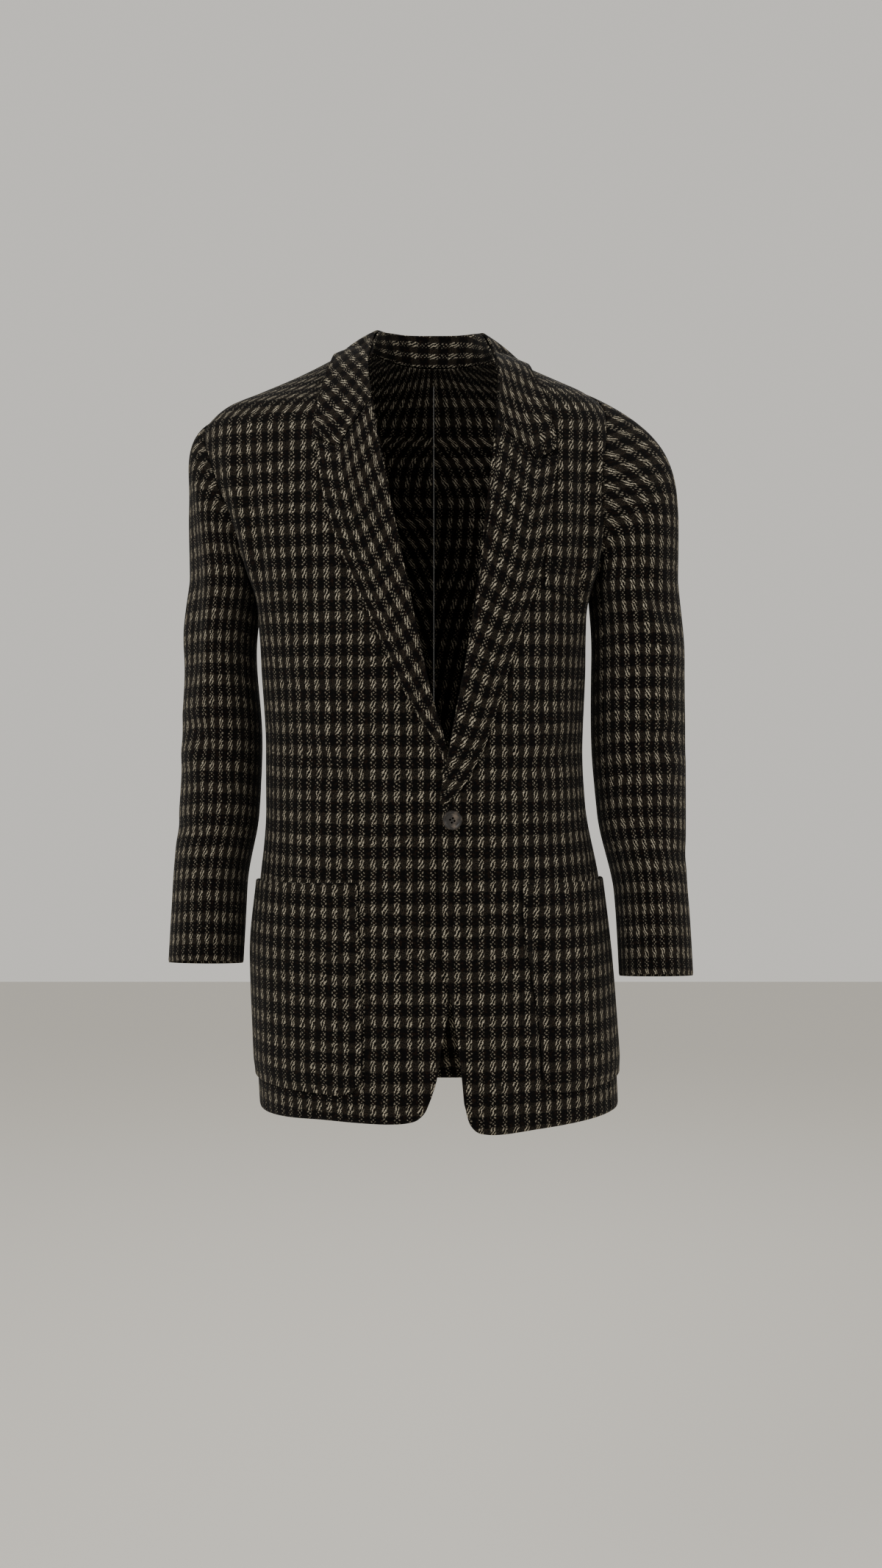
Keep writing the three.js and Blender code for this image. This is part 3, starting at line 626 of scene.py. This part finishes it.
@dataclass
class BodyPanels:
    """Fronts, backs and underarm panels of one side."""

    side: Side

    def upper(self, neck: Callable[[Array], Array], is_front: bool) -> Callable[[Array], Array]:
        """The upper edge as (x, z): neck for 2 parts in 14, shoulder for 5, armhole for 7.

        Args:
            neck: The neck edge.
            is_front: Front or back.
        Returns:
            The edge as a function of u.
        """
        side, shape = self.side, SHAPE[self.side]

        def at(u: Array) -> Array:
            """The edge at places from 0 to 1."""
            k = np.asarray(u, float) * 14
            zs = mix(shape.neck, shape.tip, np.clip((k - 2) / 5, 0, 1))
            shoulder = np.stack([side.value * WIDTH[side](zs), zs], axis=-1)
            t = np.clip((k - 7) / 7, 0, 1)
            a, z = armhole(side, t * FRONT_SEAM if is_front else 1 - t * (1 - BACK_SEAM))
            arm = np.stack([side.value * WIDTH[side](z) * squircle(a) * np.cos(a), z], axis=-1)
            k = k[..., None]
            return np.where(k <= 2, neck(np.clip(k[..., 0] / 2, 0, 1)), np.where(k <= 7, shoulder, arm))
        return at

    def panel(self, name: str, inner: Callable[[Array], Array], lower: Callable[[Array], Array],
              upper: Callable[[Array], Array], is_front: bool) -> Sheet:
        """A Coons patch between four edges in (x, z), laid on the body's surface.

        Args:
            name: Node name.
            inner: Edge at the centre.
            lower: Hem.
            upper: Neck, shoulder and armhole.
            is_front: Front or back.
        Returns:
            The sheet.
        """
        side = self.side
        low = 1 - (1 - ramp(110)) ** 1.45
        u, v = np.meshgrid(ramp(84), low)

        def outer_edge(v: Array) -> Array:
            """The outer edge as (x, z)."""
            z = mix(HEM, UNDERARM + SEAM_RISE, v)
            reach = float(squircle(np.array(SIDE_SEAM))) * math.cos(SIDE_SEAM)
            return np.stack([side.value * WIDTH[side](z) * reach, z], axis=-1)

        t = np.stack([v ** 3, v], axis=-1)
        ue = u[..., None]
        ends = [f(np.array(k, float)) for f in (lower, upper) for k in (0, 1)]
        xz = (mix(inner(v), outer_edge(v), ue) + mix(lower(u), upper(u), t)
              - mix(mix(ends[0], ends[1], ue), mix(ends[2], ends[3], ue), t))
        x, z = xz[..., 0], xz[..., 1]
        a = np.maximum(angle_at(side, x, z), CENTRE_SEAM / np.where(is_front, FRONT(z), BACK(z)))
        a = np.where(u > 1 - 1e-9, SIDE_SEAM + 1.1 * SEAM / WIDTH[side](z), a)
        a = a if is_front else -a
        lift = lap(side, x, z) if is_front else np.zeros_like(x)
        return measured(name, off_body(side, a, z, lift), body_normal(side, a, z), body_weave(side, a, z), name)

    def build(self, word: str) -> list[Sheet]:
        """The side's front, back and underarm panel.

        Args:
            word: right or left.
        Returns:
            Sheets.
        """
        side, shape = self.side, SHAPE[self.side]
        reach = float(squircle(np.array(SIDE_SEAM))) * math.cos(SIDE_SEAM)
        end = side.value * float(WIDTH[side](HEM)) * reach
        hem_x, hem_z = columns([*HEM_LINE[side], (1, end, HEM)])
        neck_x = float(NECK[side](shape.neck))
        centre = side.value * CENTRE_SEAM

        def inner(v: Array) -> Array:
            """The front edge as (x, z)."""
            z = mix(shape.corner, shape.roll_top, v)
            return np.stack([EDGE[side](z), z], axis=-1)

        def front_neck(t: Array) -> Array:
            """The front's neck edge as (x, z)."""
            z = mix(shape.roll_top, shape.neck, t)
            return np.stack([NECK[side](z), z], axis=-1)

        def back_neck(t: Array) -> Array:
            """The back's neck edge as (x, z)."""
            return np.stack([mix(centre, neck_x, t), mix(NAPE, shape.neck, t * t)], axis=-1)

        front = self.panel(f"front_{word}", inner, lambda u: np.stack([hem_x(u), hem_z(u)], axis=-1),
                           self.upper(front_neck, True), True)
        back = self.panel(
            f"back_{word}", lambda v: np.stack([centre + 0 * v, mix(HEM, NAPE, v)], axis=-1),
            lambda u: np.stack([mix(centre, end, u), HEM + 0 * u], axis=-1),
            self.upper(back_neck, False), False)
        w, v = np.meshgrid(mix(FRONT_SEAM, BACK_SEAM, ramp(30)), ramp(80))
        t = (w - 0.5) / (0.5 - FRONT_SEAM)
        top = UNDERARM + SEAM_RISE * t * t
        z = mix(HEM, top, v)
        limit = SIDE_SEAM - 1.1 * SEAM / WIDTH[side](top)
        a = np.clip(-t * SIDE_SEAM, -limit, limit)
        middle = measured(f"side_{word}", off_body(side, a, z, 0), body_normal(side, a, z),
                          body_weave(side, a, z), f"side_{word}")
        return [front, back, middle]


@dataclass
class Sleeve:
    """A two-piece sleeve."""

    side: Side

    def piece(self, name: str, start: float, end: float, count: int) -> Sheet:
        """One cut piece between two places round the armhole.

        Args:
            name: Node name.
            start: First place.
            end: Last place.
            count: Columns.
        Returns:
            The sheet.
        """
        side = self.side
        w, t = np.meshgrid(mix(start + 0.0018, end - 0.0018, ramp(count)), ramp(130))
        base = sleeve_point(side, w, t)
        normals = normals_of(lambda p, q: sleeve_point(side, p, q), w, np.clip(t, 0.0012, 0.998), side.value)
        fade = smooth(t / 0.1)
        outer = base + normals * (crease_depth(SLEEVE_CREASES, base) * fade)[..., None]
        outer = np.where((t > 0.2)[..., None], beside(side, outer), outer)
        v = np.cumsum(np.linalg.norm(np.diff(outer, axis=0, prepend=outer[:1]), axis=-1), axis=0)
        weave = np.stack([w * SLEEVE_GIRTH, v[-1:] - v], axis=-1)
        return measured(name, outer, normals, weave, name)

    def build(self, word: str) -> list[Sheet]:
        """Upper and under sleeve.

        Args:
            word: right or left.
        Returns:
            Sheets.
        """
        return [self.piece(f"sleeve_upper_{word}", -1 + mix(BACK_SEAM, 1, 1 / 7), FRONT_SEAM, 84),
                self.piece(f"sleeve_under_{word}", FRONT_SEAM, mix(BACK_SEAM, 1, 1 / 7), 40)]


@dataclass
class Lapel:
    """A notch lapel, its grain following its outer edge."""

    side: Side

    def build(self, word: str) -> list[Sheet]:
        """The lapel as a Coons patch on the front.

        Args:
            word: right or left.
        Returns:
            Sheets.
        """
        side, end = self.side, LAPEL_END[self.side]
        roll_at, notch, tip = (np.array(p, float) for p in GORGE[side])

        def gorge(u: Array) -> Array:
            """The gorge and notch as (x, z)."""
            u = np.asarray(u, float)[..., None]
            line = np.where(u < 0.6, mix(roll_at, notch, u / 0.6), mix(notch, tip, (u - 0.6) / 0.4))
            return line - np.array([0, GORGE_GAP])

        def roll(v: Array) -> Array:
            """The roll line as (x, z)."""
            z = mix(end, roll_at[1] - GORGE_GAP, v)
            return np.stack([EDGE[side](z) + side.value * 0.5, z], axis=-1)

        def outer_edge(v: Array) -> Array:
            """The outer edge as (x, z)."""
            z = mix(end, tip[1] - GORGE_GAP, v)
            return np.stack([LAPEL_EDGE[side](z), z], axis=-1)

        u, v = np.meshgrid(ramp(35), ramp(110))
        ue, ve = u[..., None], v[..., None]
        zero, one = np.array(0.0), np.array(1.0)
        lower = mix(roll(zero), outer_edge(zero) * [1, 0] + [0, end], ue)
        flat = (mix(roll(v), outer_edge(v), ue) + mix(lower, gorge(u), ve)
                - mix(mix(roll(zero), outer_edge(zero), ue), mix(gorge(zero), gorge(one), ue), ve))
        x, z = flat[..., 0], flat[..., 1]
        a = angle_at(side, x, z)
        puff = LAPEL_PUFF * np.sin(np.pi * np.clip(u, 0, 1)) * smooth(v / 0.15) * smooth((1 - v) / 0.1)
        points = off_body(side, a, z, lap(side, x, z) + LAYER + puff)
        width = np.linalg.norm(np.diff(points, axis=1, prepend=points[:, :1]), axis=-1)
        from_edge = width.sum(axis=1, keepdims=True) - np.cumsum(width, axis=1)
        down = grid_weave(points)[..., 1]
        weave = np.stack([-side.value * from_edge, down], axis=-1)
        name = f"lapel_{word}"
        return [measured(name, points, body_normal(side, a, z), weave, name, (f"front_{word}",))]


@dataclass(frozen=True)
class PocketCut:
    """Corners of a patch pocket: x of its front edge, angle of its back edge, heights."""

    top_x: float
    foot_x: float
    behind: float
    top: float
    top_behind: float
    foot: float
    foot_behind: float


POCKET = {Side.RIGHT: PocketCut(-75, -70, -4, -531, -540, -747, -742),
          Side.LEFT: PocketCut(90, 111, -6, -533, -538, -747, -741)}


@dataclass
class Pocket:
    """A lower patch pocket with rounded corners."""

    side: Side

    def build(self, word: str) -> list[Sheet]:
        """The pocket as a grid on the body, its corners of 22 mm radius.

        Args:
            word: right or left.
        Returns:
            Sheets.
        """
        side, p = self.side, POCKET[self.side]
        u, v = np.meshgrid(ramp(70), ramp(60))
        near = np.minimum(u, 1 - u) * POCKET_WIDTH
        r = POCKET_CORNER
        curve = np.where(near < r, r - np.sqrt(np.maximum(0, r ** 2 - (r - near) ** 2)), 0)
        z = mix(mix(p.foot, p.foot_behind, u) + curve, mix(p.top, p.top_behind, u), v)
        a = mix(angle_at(side, mix(p.foot_x, p.top_x, smooth(v * 1.1)), z), math.radians(p.behind), u)
        sag = POCKET_SAG * np.sin(np.pi * u) ** 0.6 * smooth(v / 0.1)
        weave = body_weave(side, a, z) + np.array([3.0, 5.0])
        name = f"pocket_{word}"
        return [measured(name, off_body(side, a, z, POCKET_LIFT + sag), body_normal(side, a, z), weave, name,
                         (f"front_{word}", f"side_{word}"))]


def chest_welt() -> list[Sheet]:
    """The breast pocket's welt on the wearer's left chest, 38 by 25 mm where it shows.

    Returns:
        Sheets.
    """
    u, v = np.meshgrid(ramp(20), ramp(12))
    x, z = mix(*WELT_X, u), mix(*WELT_TOP, u) - WELT_HEIGHT * (1 - v)
    a = angle_at(Side.LEFT, x, z)
    weave = body_weave(Side.LEFT, a, z) + np.array([4.0, 7.0])
    return [measured("chest_welt", off_body(Side.LEFT, a, z, WELT_LIFT), body_normal(Side.LEFT, a, z), weave,
                     "chest_welt", ("front_left",))]


# Fold, middle and outer edge of the collar leaf from each gorge to the nape. A y of None lies on the
# front cloth and a y of "back" on the back cloth.
Place = tuple[float, "float | str | None", float]
COLLAR: dict[Side, list[tuple[Place, Place, Place]]] = {
    Side.RIGHT: [
        ((-63, None, -43), (-95, None, -94), (-121, None, -84)),
        ((-65, None, -22), (-92, None, -50), (-118, None, -58)),
        ((-67, None, 0), (-92, None, -18), (-114, None, -32)),
        ((-65, -24, 22), (-89, -22, 6), (-107, None, -7)),
        ((-61, -4, 38), (-83, 2, 27), (-99, 8, 14)),
        ((-49, 30, 42), (-68, 38, 25), (-84, "back", 4)),
        ((-27, 52, 43), (-38, 64, 22), (-46, "back", -6))],
    Side.LEFT: [
        ((65, None, -70), (104, None, -107), (126, None, -94)),
        ((67, None, -42), (94, None, -66), (121, None, -70)),
        ((68, None, -12), (92, None, -36), (115, None, -48)),
        ((64, -26, 12), (85, -26, -6), (104, None, -20)),
        ((55, -4, 34), (77, 2, 20), (93, 8, 5)),
        ((45, 30, 41), (64, 38, 22), (80, "back", 0)),
        ((26, 52, 43), (37, 64, 22), (45, "back", -8))]}
NAPE_PLACES: tuple[Place, Place, Place] = ((0, 60, 44), (0, 70, 21), (0, "back", -10))


def spread(place: Place) -> Array:
    """A collar place in space.

    Args:
        place: x, y or where it lies, and z.
    Returns:
        The point.
    """
    x, y, z = place
    side = Side.RIGHT if x < 0 else Side.LEFT
    if y is None or y == "back":
        a = angle_at(side, np.array(float(x)), np.array(float(z)))
        a = a if y is None else -a
        zz = np.array(float(z))
        return body_point(side, a, zz) + body_normal(side, a, zz) * LEAF
    return np.array([x, y, z], dtype=float)


class Curve:
    """A centripetal Catmull-Rom curve through points, even in its parameter between them."""

    def __init__(self, points: Array) -> None:
        """Keep the points with one mirrored beyond each end.

        Args:
            points: At least two.
        """
        self.points = np.concatenate([[2 * points[0] - points[1]], points, [2 * points[-1] - points[-2]]])

    def __call__(self, u: Array) -> Array:
        """Points at u from 0 to 1.

        Args:
            u: Places.
        Returns:
            Points.
        """
        n = len(self.points) - 3
        k = np.clip(np.asarray(u, float), 0, 1) * n
        i = np.minimum(k.astype(int), n - 1)
        f = (k - i)[..., None]
        p = [self.points[i + j] for j in range(4)]
        d = [np.maximum(np.linalg.norm(p[j + 1] - p[j], axis=-1, keepdims=True) ** 0.5, 1e-4) for j in range(3)]
        m1 = ((p[1] - p[0]) / d[0] - (p[2] - p[0]) / (d[0] + d[1]) + (p[2] - p[1]) / d[1]) * d[1]
        m2 = ((p[2] - p[1]) / d[1] - (p[3] - p[1]) / (d[1] + d[2]) + (p[3] - p[2]) / d[2]) * d[1]
        h, g = f * f * (3 - 2 * f), f * (1 - f)
        return p[1] * (1 - h) + p[2] * h + m1 * g * (1 - f) - m2 * g * f


def collar_curve(which: int) -> Curve:
    """One of the collar's three curves.

    Args:
        which: 0 fold, 1 middle, 2 outer edge.
    Returns:
        The curve.
    """
    rows = [r[which] for r in COLLAR[Side.RIGHT]] + [NAPE_PLACES[which]]
    rows += [r[which] for r in reversed(COLLAR[Side.LEFT])]
    return Curve(np.stack([spread(p) for p in rows]))


@dataclass
class Collar:
    """The leaf that lies over the shoulders, and the stand under it."""

    fold: Curve = field(default_factory=lambda: collar_curve(0))
    middle: Curve = field(default_factory=lambda: collar_curve(1))
    edge: Curve = field(default_factory=lambda: collar_curve(2))

    def keep_off(self, point: Array) -> Array:
        """Points moved out, where they have to be, to lie a layer off the body.

        Args:
            point: Points.
        Returns:
            Points.
        """
        for side in Side:
            mine = (point[..., 0] < 0) == (side is Side.RIGHT)
            for _ in range(3):
                x, y, z = point[..., 0], point[..., 1], np.minimum(point[..., 2], 24)
                a = np.arctan2(-y / np.where(y < 0, FRONT(z), BACK(z)), np.abs(x) / WIDTH[side](z))
                normal = body_normal(side, a, z)
                off = ((point - body_point(side, a, z)) * normal).sum(axis=-1)
                move = np.where(mine & (point[..., 2] < SHAPE[side].neck - 1), np.maximum(0, LEAF - off), 0)
                point = point + normal * move[..., None]
        return point

    def leaf(self, u: Array, v: Array) -> Array:
        """The leaf: u from the right gorge to the left, v from the fold to the outer edge.

        Args:
            u: Along.
            v: Across.
        Returns:
            Points.
        """
        f, m, e = self.fold(u), self.middle(u), self.edge(u)
        w = v[..., None]
        straight = np.where(w < 0.6, mix(f, m, w / 0.6), mix(m, e, (w - 0.6) / 0.4))
        s = np.where(w < 0.6, w / 1.2, 0.5 + (w - 0.6) / 0.8)
        bent = f * (1 - s) * (1 - 2 * s) + m * 4 * s * (1 - s) + e * s * (2 * s - 1)
        near = np.where(u < 0.5, u, 1 - u)
        return self.keep_off(mix(straight, bent, smooth(near / 0.12)[..., None]))

    def neckline(self, u: Array) -> Array:
        """The neckline from the right front round the nape to the left front.

        Args:
            u: Places.
        Returns:
            Points.
        """
        t = 1 - np.abs(2 * u - 1)
        total = np.zeros((*u.shape, 3))
        for side in Side:
            shape = SHAPE[side]
            front_z = mix(shape.roll_top, shape.neck, np.clip(t / 0.55, 0, 1))
            front = body_point(side, angle_at(side, NECK[side](front_z), front_z), front_z)
            s = np.clip((t - 0.55) / 0.45, 0, 1)
            back_z = mix(shape.neck, NAPE, 1 - (1 - s) ** 2)
            back = body_point(side, -angle_at(side, mix(NECK[side](shape.neck), 0, s), back_z), back_z)
            mine = (u < 0.5) == (side is Side.RIGHT)
            total += np.where((t < 0.55)[..., None], front, back) * mine[..., None]
        return total

    def stand(self, u: Array, v: Array) -> Array:
        """The stand between the neckline and the fold.

        Args:
            u: Along.
            v: Up.
        Returns:
            Points.
        """
        base = self.neckline(u)
        t = 1 - np.abs(2 * u - 1)
        top = self.fold(np.where(u < 0.5, mix(0.17, 0.5, (t - 0.4) / 0.6), mix(0.83, 0.5, (t - 0.4) / 0.6)))
        flat, centre = np.array([1, 1, 0]), np.array([0, 5, 0])
        base = base + unit((centre - base) * flat) * 1.2 + [0, 0, 0.8]
        top = top + unit((centre - top) * flat) * 3.2 - [0, 0, 1.6]
        return mix(base, top, v[..., None])

    def build(self) -> list[Sheet]:
        """Leaf and stand.

        Returns:
            Sheets.
        """
        u, v = np.meshgrid(ramp(24), ramp(160))
        points = self.leaf(v, u)
        normals = normals_of(self.leaf, np.clip(v, 0.002, 0.998), np.clip(u, 0.002, 0.998), 1)
        leaf = measured("collar_leaf", points, normals, grid_weave(points, LEAF_TILT), "collar_leaf",
                        ("back_right", "back_left"))
        u, v = np.meshgrid(ramp(12), mix(*STAND_SPAN, ramp(120)))
        points = self.stand(v, u)
        stand = measured("collar_stand", points, normals_of(self.stand, v, u, -1), grid_weave(points),
                         "collar_stand", ("back_right", "back_left"), STAND_WALL)
        return [leaf, stand]


# ---------------------------------------------------------------- finishes


def linear(colour: str) -> tuple[float, float, float, float]:
    """An sRGB hex colour in linear light.

    Args:
        colour: Such as #4a4138.
    Returns:
        Red, green, blue and 1.
    """
    parts = [int(colour[k:k + 2], 16) / 255 for k in (1, 3, 5)]
    r, g, b = (p / 12.92 if p <= 0.04045 else ((p + 0.055) / 1.055) ** 2.4 for p in parts)
    return r, g, b, 1.0


@dataclass(frozen=True)
class Tweed:
    """Hairy check tweed. Lengths in mm."""

    column: float = 12.0
    row: float = 22.5
    share: float = 0.45
    stroke: float = 2.8
    dot: float = 3.0
    dark: str = "#050404"
    rust: str = "#1d120b"
    grey: str = "#2c2720"
    cream: str = "#b0a793"
    roughness: float = 0.95
    bump: float = 0.0009


class Shader:
    """A material's node tree and one way to add nodes to it."""

    def __init__(self, name: str) -> None:
        """Start an empty tree with an output.

        Args:
            name: Material name.
        """
        self.material = bpy.data.materials.new(name)
        self.material.use_nodes = True
        self.tree = self.material.node_tree
        self.tree.nodes.clear()

    def add(self, kind: str, inputs: dict[int | str, object] | None = None,
            **settings: object) -> bpy.types.Node:
        """Add one node.

        Args:
            kind: Node type.
            inputs: Sockets to link, or constants to set.
            settings: Attributes.
        Returns:
            The node.
        """
        node = self.tree.nodes.new(kind)
        for key, value in settings.items():
            setattr(node, key, value)
        for key, value in (inputs or {}).items():
            if isinstance(value, bpy.types.NodeSocket):
                self.tree.links.new(value, node.inputs[key])
            else:
                node.inputs[key].default_value = value
        return node

    def math(self, operation: str, *values: object) -> bpy.types.NodeSocket:
        """A math node.

        Args:
            operation: Its operation.
            values: Sockets or numbers.
        Returns:
            Its output.
        """
        return self.add("ShaderNodeMath", dict(enumerate(values)), operation=operation).outputs[0]

    def step(self, value: object, low: float, high: float) -> bpy.types.NodeSocket:
        """A smooth step from low to high.

        Args:
            value: Socket.
            low: Where it is 0.
            high: Where it is 1.
        Returns:
            The step.
        """
        return self.add("ShaderNodeMapRange", {0: value, 1: low, 2: high},
                        interpolation_type="SMOOTHSTEP").outputs[0]

    def blend(self, share: object, a: object, b: object) -> bpy.types.NodeSocket:
        """A blend of two colours.

        Args:
            share: How much of b.
            a: First colour.
            b: Second colour.
        Returns:
            The colour.
        """
        return self.add("ShaderNodeMix", {0: share, 6: a, 7: b}, data_type="RGBA").outputs[2]


def tweed_material(t: Tweed) -> bpy.types.Material:
    """Check tweed: dark and light warp and weft stripes, twill ribs and dots 3 mm apart with painted shade between
    the ribs, and loose hairs.

    Args:
        t: The finish.
    Returns:
        The material.
    """
    s = Shader("hairy check tweed")
    place = s.add("ShaderNodeUVMap", uv_map="weave").outputs[0]
    wander = s.add("ShaderNodeTexNoise", {
        "Vector": place, "Scale": 140.0, "Detail": 6.0, "Roughness": 0.75}).outputs[1]
    shift = s.add("ShaderNodeVectorMath", {0: wander, 1: (0.5, 0.5, 0.5)}, operation="SUBTRACT").outputs[0]
    shift = s.add("ShaderNodeVectorMath", {0: shift, "Scale": 0.008}, operation="SCALE").outputs[0]
    moved = s.add("ShaderNodeVectorMath", {0: place, 1: shift}, operation="ADD").outputs[0]
    parts = s.add("ShaderNodeSeparateXYZ", {0: moved}).outputs
    u, v = s.math("MULTIPLY", parts[0], 1000.0), s.math("MULTIPLY", parts[1], 1000.0)

    def stripe(place: object, every: float) -> bpy.types.NodeSocket:
        """1 on the light stripes and 0 on the dark ones."""
        wave = s.math("COSINE", s.math("MULTIPLY", place, 2 * math.pi / every))
        edge = math.cos(math.pi * t.share)
        return s.step(wave, edge - 0.3, edge + 0.3)

    warp, weft = stripe(u, t.column), stripe(v, t.row)
    slant = math.radians(65)
    across = s.math("SUBTRACT", s.math("MULTIPLY", u, math.sin(slant)), s.math("MULTIPLY", v, math.cos(slant)))
    # Pale twill ribs; the dark gaps between them are painted shade between the ribs.
    ribs_over_painted_shade = s.step(s.math("COSINE", s.math("MULTIPLY", across, 2 * math.pi / t.stroke)), -0.1, 0.55)
    ring = 2 * math.pi / t.dot
    both = s.math("ADD", s.math("COSINE", s.math("MULTIPLY", s.math("ADD", u, v), ring / 1.414)),
                  s.math("COSINE", s.math("MULTIPLY", s.math("SUBTRACT", u, v), ring / 1.414)))
    dots = s.step(both, 0.6, 1.3)
    fine = s.add("ShaderNodeTexNoise", {"Vector": place, "Scale": 900.0, "Detail": 4.0}).outputs[0]
    broad = s.add("ShaderNodeTexNoise", {"Vector": place, "Scale": 260.0, "Detail": 3.0}).outputs[0]
    grain = s.step(fine, 0.38, 0.62)
    # Where pale warp crosses pale weft: cream ribs, with painted shade left dark in the gaps between them.
    light = s.math("MULTIPLY", s.math("MULTIPLY", warp, weft), ribs_over_painted_shade)
    salt = s.math("MULTIPLY", s.math("MULTIPLY", warp, s.math("SUBTRACT", 1.0, weft)), dots)
    mottle = s.math("MULTIPLY", s.math("MULTIPLY", weft, s.math("SUBTRACT", 1.0, warp)), grain)
    colour = s.blend(s.math("MULTIPLY", s.step(broad, 0.5, 0.7), 0.55), linear(t.dark), linear(t.rust))
    colour = s.blend(s.math("MULTIPLY", mottle, 0.75), colour, linear(t.grey))
    colour = s.blend(s.math("MULTIPLY", salt, 0.34), colour, linear(t.cream))
    colour = s.blend(s.math("MULTIPLY", light, s.math("ADD", 0.3, s.math("MULTIPLY", grain, 0.7))), colour,
                     linear(t.cream))
    height = s.math("ADD", s.math("ADD", light, s.math("MULTIPLY", salt, 0.6)), s.math("MULTIPLY", fine, 1.2))
    bump = s.add("ShaderNodeBump", {"Height": height, "Strength": 0.8, "Distance": t.bump}).outputs[0]
    shade = s.add("ShaderNodeBsdfPrincipled", {
        "Base Color": colour, "Roughness": t.roughness, "Normal": bump, "Specular IOR Level": 0.06,
        "Sheen Weight": 0.03, "Sheen Roughness": 0.5}).outputs[0]
    s.add("ShaderNodeOutputMaterial", {0: shade})
    return s.material


@dataclass(frozen=True)
class Horn:
    """Dark polished horn, its streaks a few mm long."""

    dark: str = "#191512"
    pale: str = "#5a5046"
    roughness: float = 0.38


def horn_material(h: Horn) -> bpy.types.Material:
    """Dark horn with soft grey streaks.

    Args:
        h: The finish.
    Returns:
        The material.
    """
    s = Shader("dark horn")
    place = s.add("ShaderNodeTexCoord").outputs["Object"]
    cloud = s.add("ShaderNodeTexNoise", {"Vector": place, "Scale": 160.0, "Detail": 3.0}).outputs[0]
    colour = s.blend(s.step(cloud, 0.45, 0.75), linear(h.dark), linear(h.pale))
    shade = s.add("ShaderNodeBsdfPrincipled", {"Base Color": colour, "Roughness": h.roughness}).outputs[0]
    s.add("ShaderNodeOutputMaterial", {0: shade})
    return s.material


# ---------------------------------------------------------------- studio


@dataclass(frozen=True)
class Studio:
    """Camera, pale floor and soft lights. Metres."""

    eye: tuple[float, float, float] = (0.008, -2.1, -0.335)
    down: float = 2.82
    lens: float = 45.4
    floor: float = -1.55

    def build(self) -> None:
        """Add the camera, the floor, three area lights and a pale surround."""
        camera = bpy.data.objects.new("camera", bpy.data.cameras.new("camera"))
        camera.location = self.eye
        camera.rotation_euler = (math.radians(90 - self.down), 0, 0)
        camera.data.sensor_fit = "VERTICAL"
        camera.data.sensor_height = 36
        camera.data.lens = self.lens
        bpy.context.collection.objects.link(camera)
        bpy.context.scene.camera = camera
        mesh = bpy.data.meshes.new("floor")
        e, z = 6.0, self.floor
        mesh.from_pydata([(-e, -e, z), (e, -e, z), (e, e, z), (-e, e, z)], [], [(0, 1, 2, 3)])
        s = Shader("pale matt floor")
        shade = s.add("ShaderNodeBsdfPrincipled", {"Base Color": linear("#d2cfc8"), "Roughness": 0.9}).outputs[0]
        s.add("ShaderNodeOutputMaterial", {0: shade})
        mesh.materials.append(s.material)
        floor = bpy.data.objects.new("floor", mesh)
        bpy.context.collection.objects.link(floor)
        for name, at, size, power in (("key", (-1.6, -2.2, 1.3), 1.6, 60), ("fill", (2.0, -1.6, 0.4), 1.8, 22),
                                      ("back", (0.3, 2.2, 1.4), 1.6, 35)):
            lamp = bpy.data.lights.new(name, "AREA")
            lamp.size, lamp.energy = size, power
            obj = bpy.data.objects.new(name, lamp)
            obj.location = at
            aim = np.array([0.0, 0.0, -0.35]) - np.array(at)
            flat = math.hypot(aim[0], aim[1])
            obj.rotation_euler = (math.atan2(flat, -aim[2]), 0, math.atan2(aim[1], aim[0]) - math.pi / 2)
            bpy.context.collection.objects.link(obj)
        world = bpy.data.worlds.new("studio")
        world.use_nodes = True
        world.node_tree.nodes["Background"].inputs[0].default_value = linear("#c8c5bf")
        world.node_tree.nodes["Background"].inputs[1].default_value = 1.25
        bpy.context.scene.world = world


def main() -> None:
    """Build the jacket and its studio."""
    logging.basicConfig(level=logging.INFO, format="%(message)s")
    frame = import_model()
    tweed, horn = tweed_material(Tweed()), horn_material(Horn())
    sheets: list[Sheet] = []
    for side, word in ((Side.RIGHT, "right"), (Side.LEFT, "left")):
        for part in (BodyPanels(side), Sleeve(side), Lapel(side), Pocket(side)):
            sheets += part.build(word)
    sheets += [*Collar().build(), *chest_welt()]
    for sheet in sheets:
        obj = sheet.build(tweed)
        log.info("%s: %d faces, %.0f x %.0f mm, %.4f m2", sheet.name, len(obj.data.polygons), *sheet.flat,
                 sheet.area / 1e6)
    button = frame["nodes"]["front_button"]
    for slot in button.material_slots:
        slot.material = horn
    Studio().build()
    bpy.context.view_layer.update()


if __name__ == "__main__":
    main()
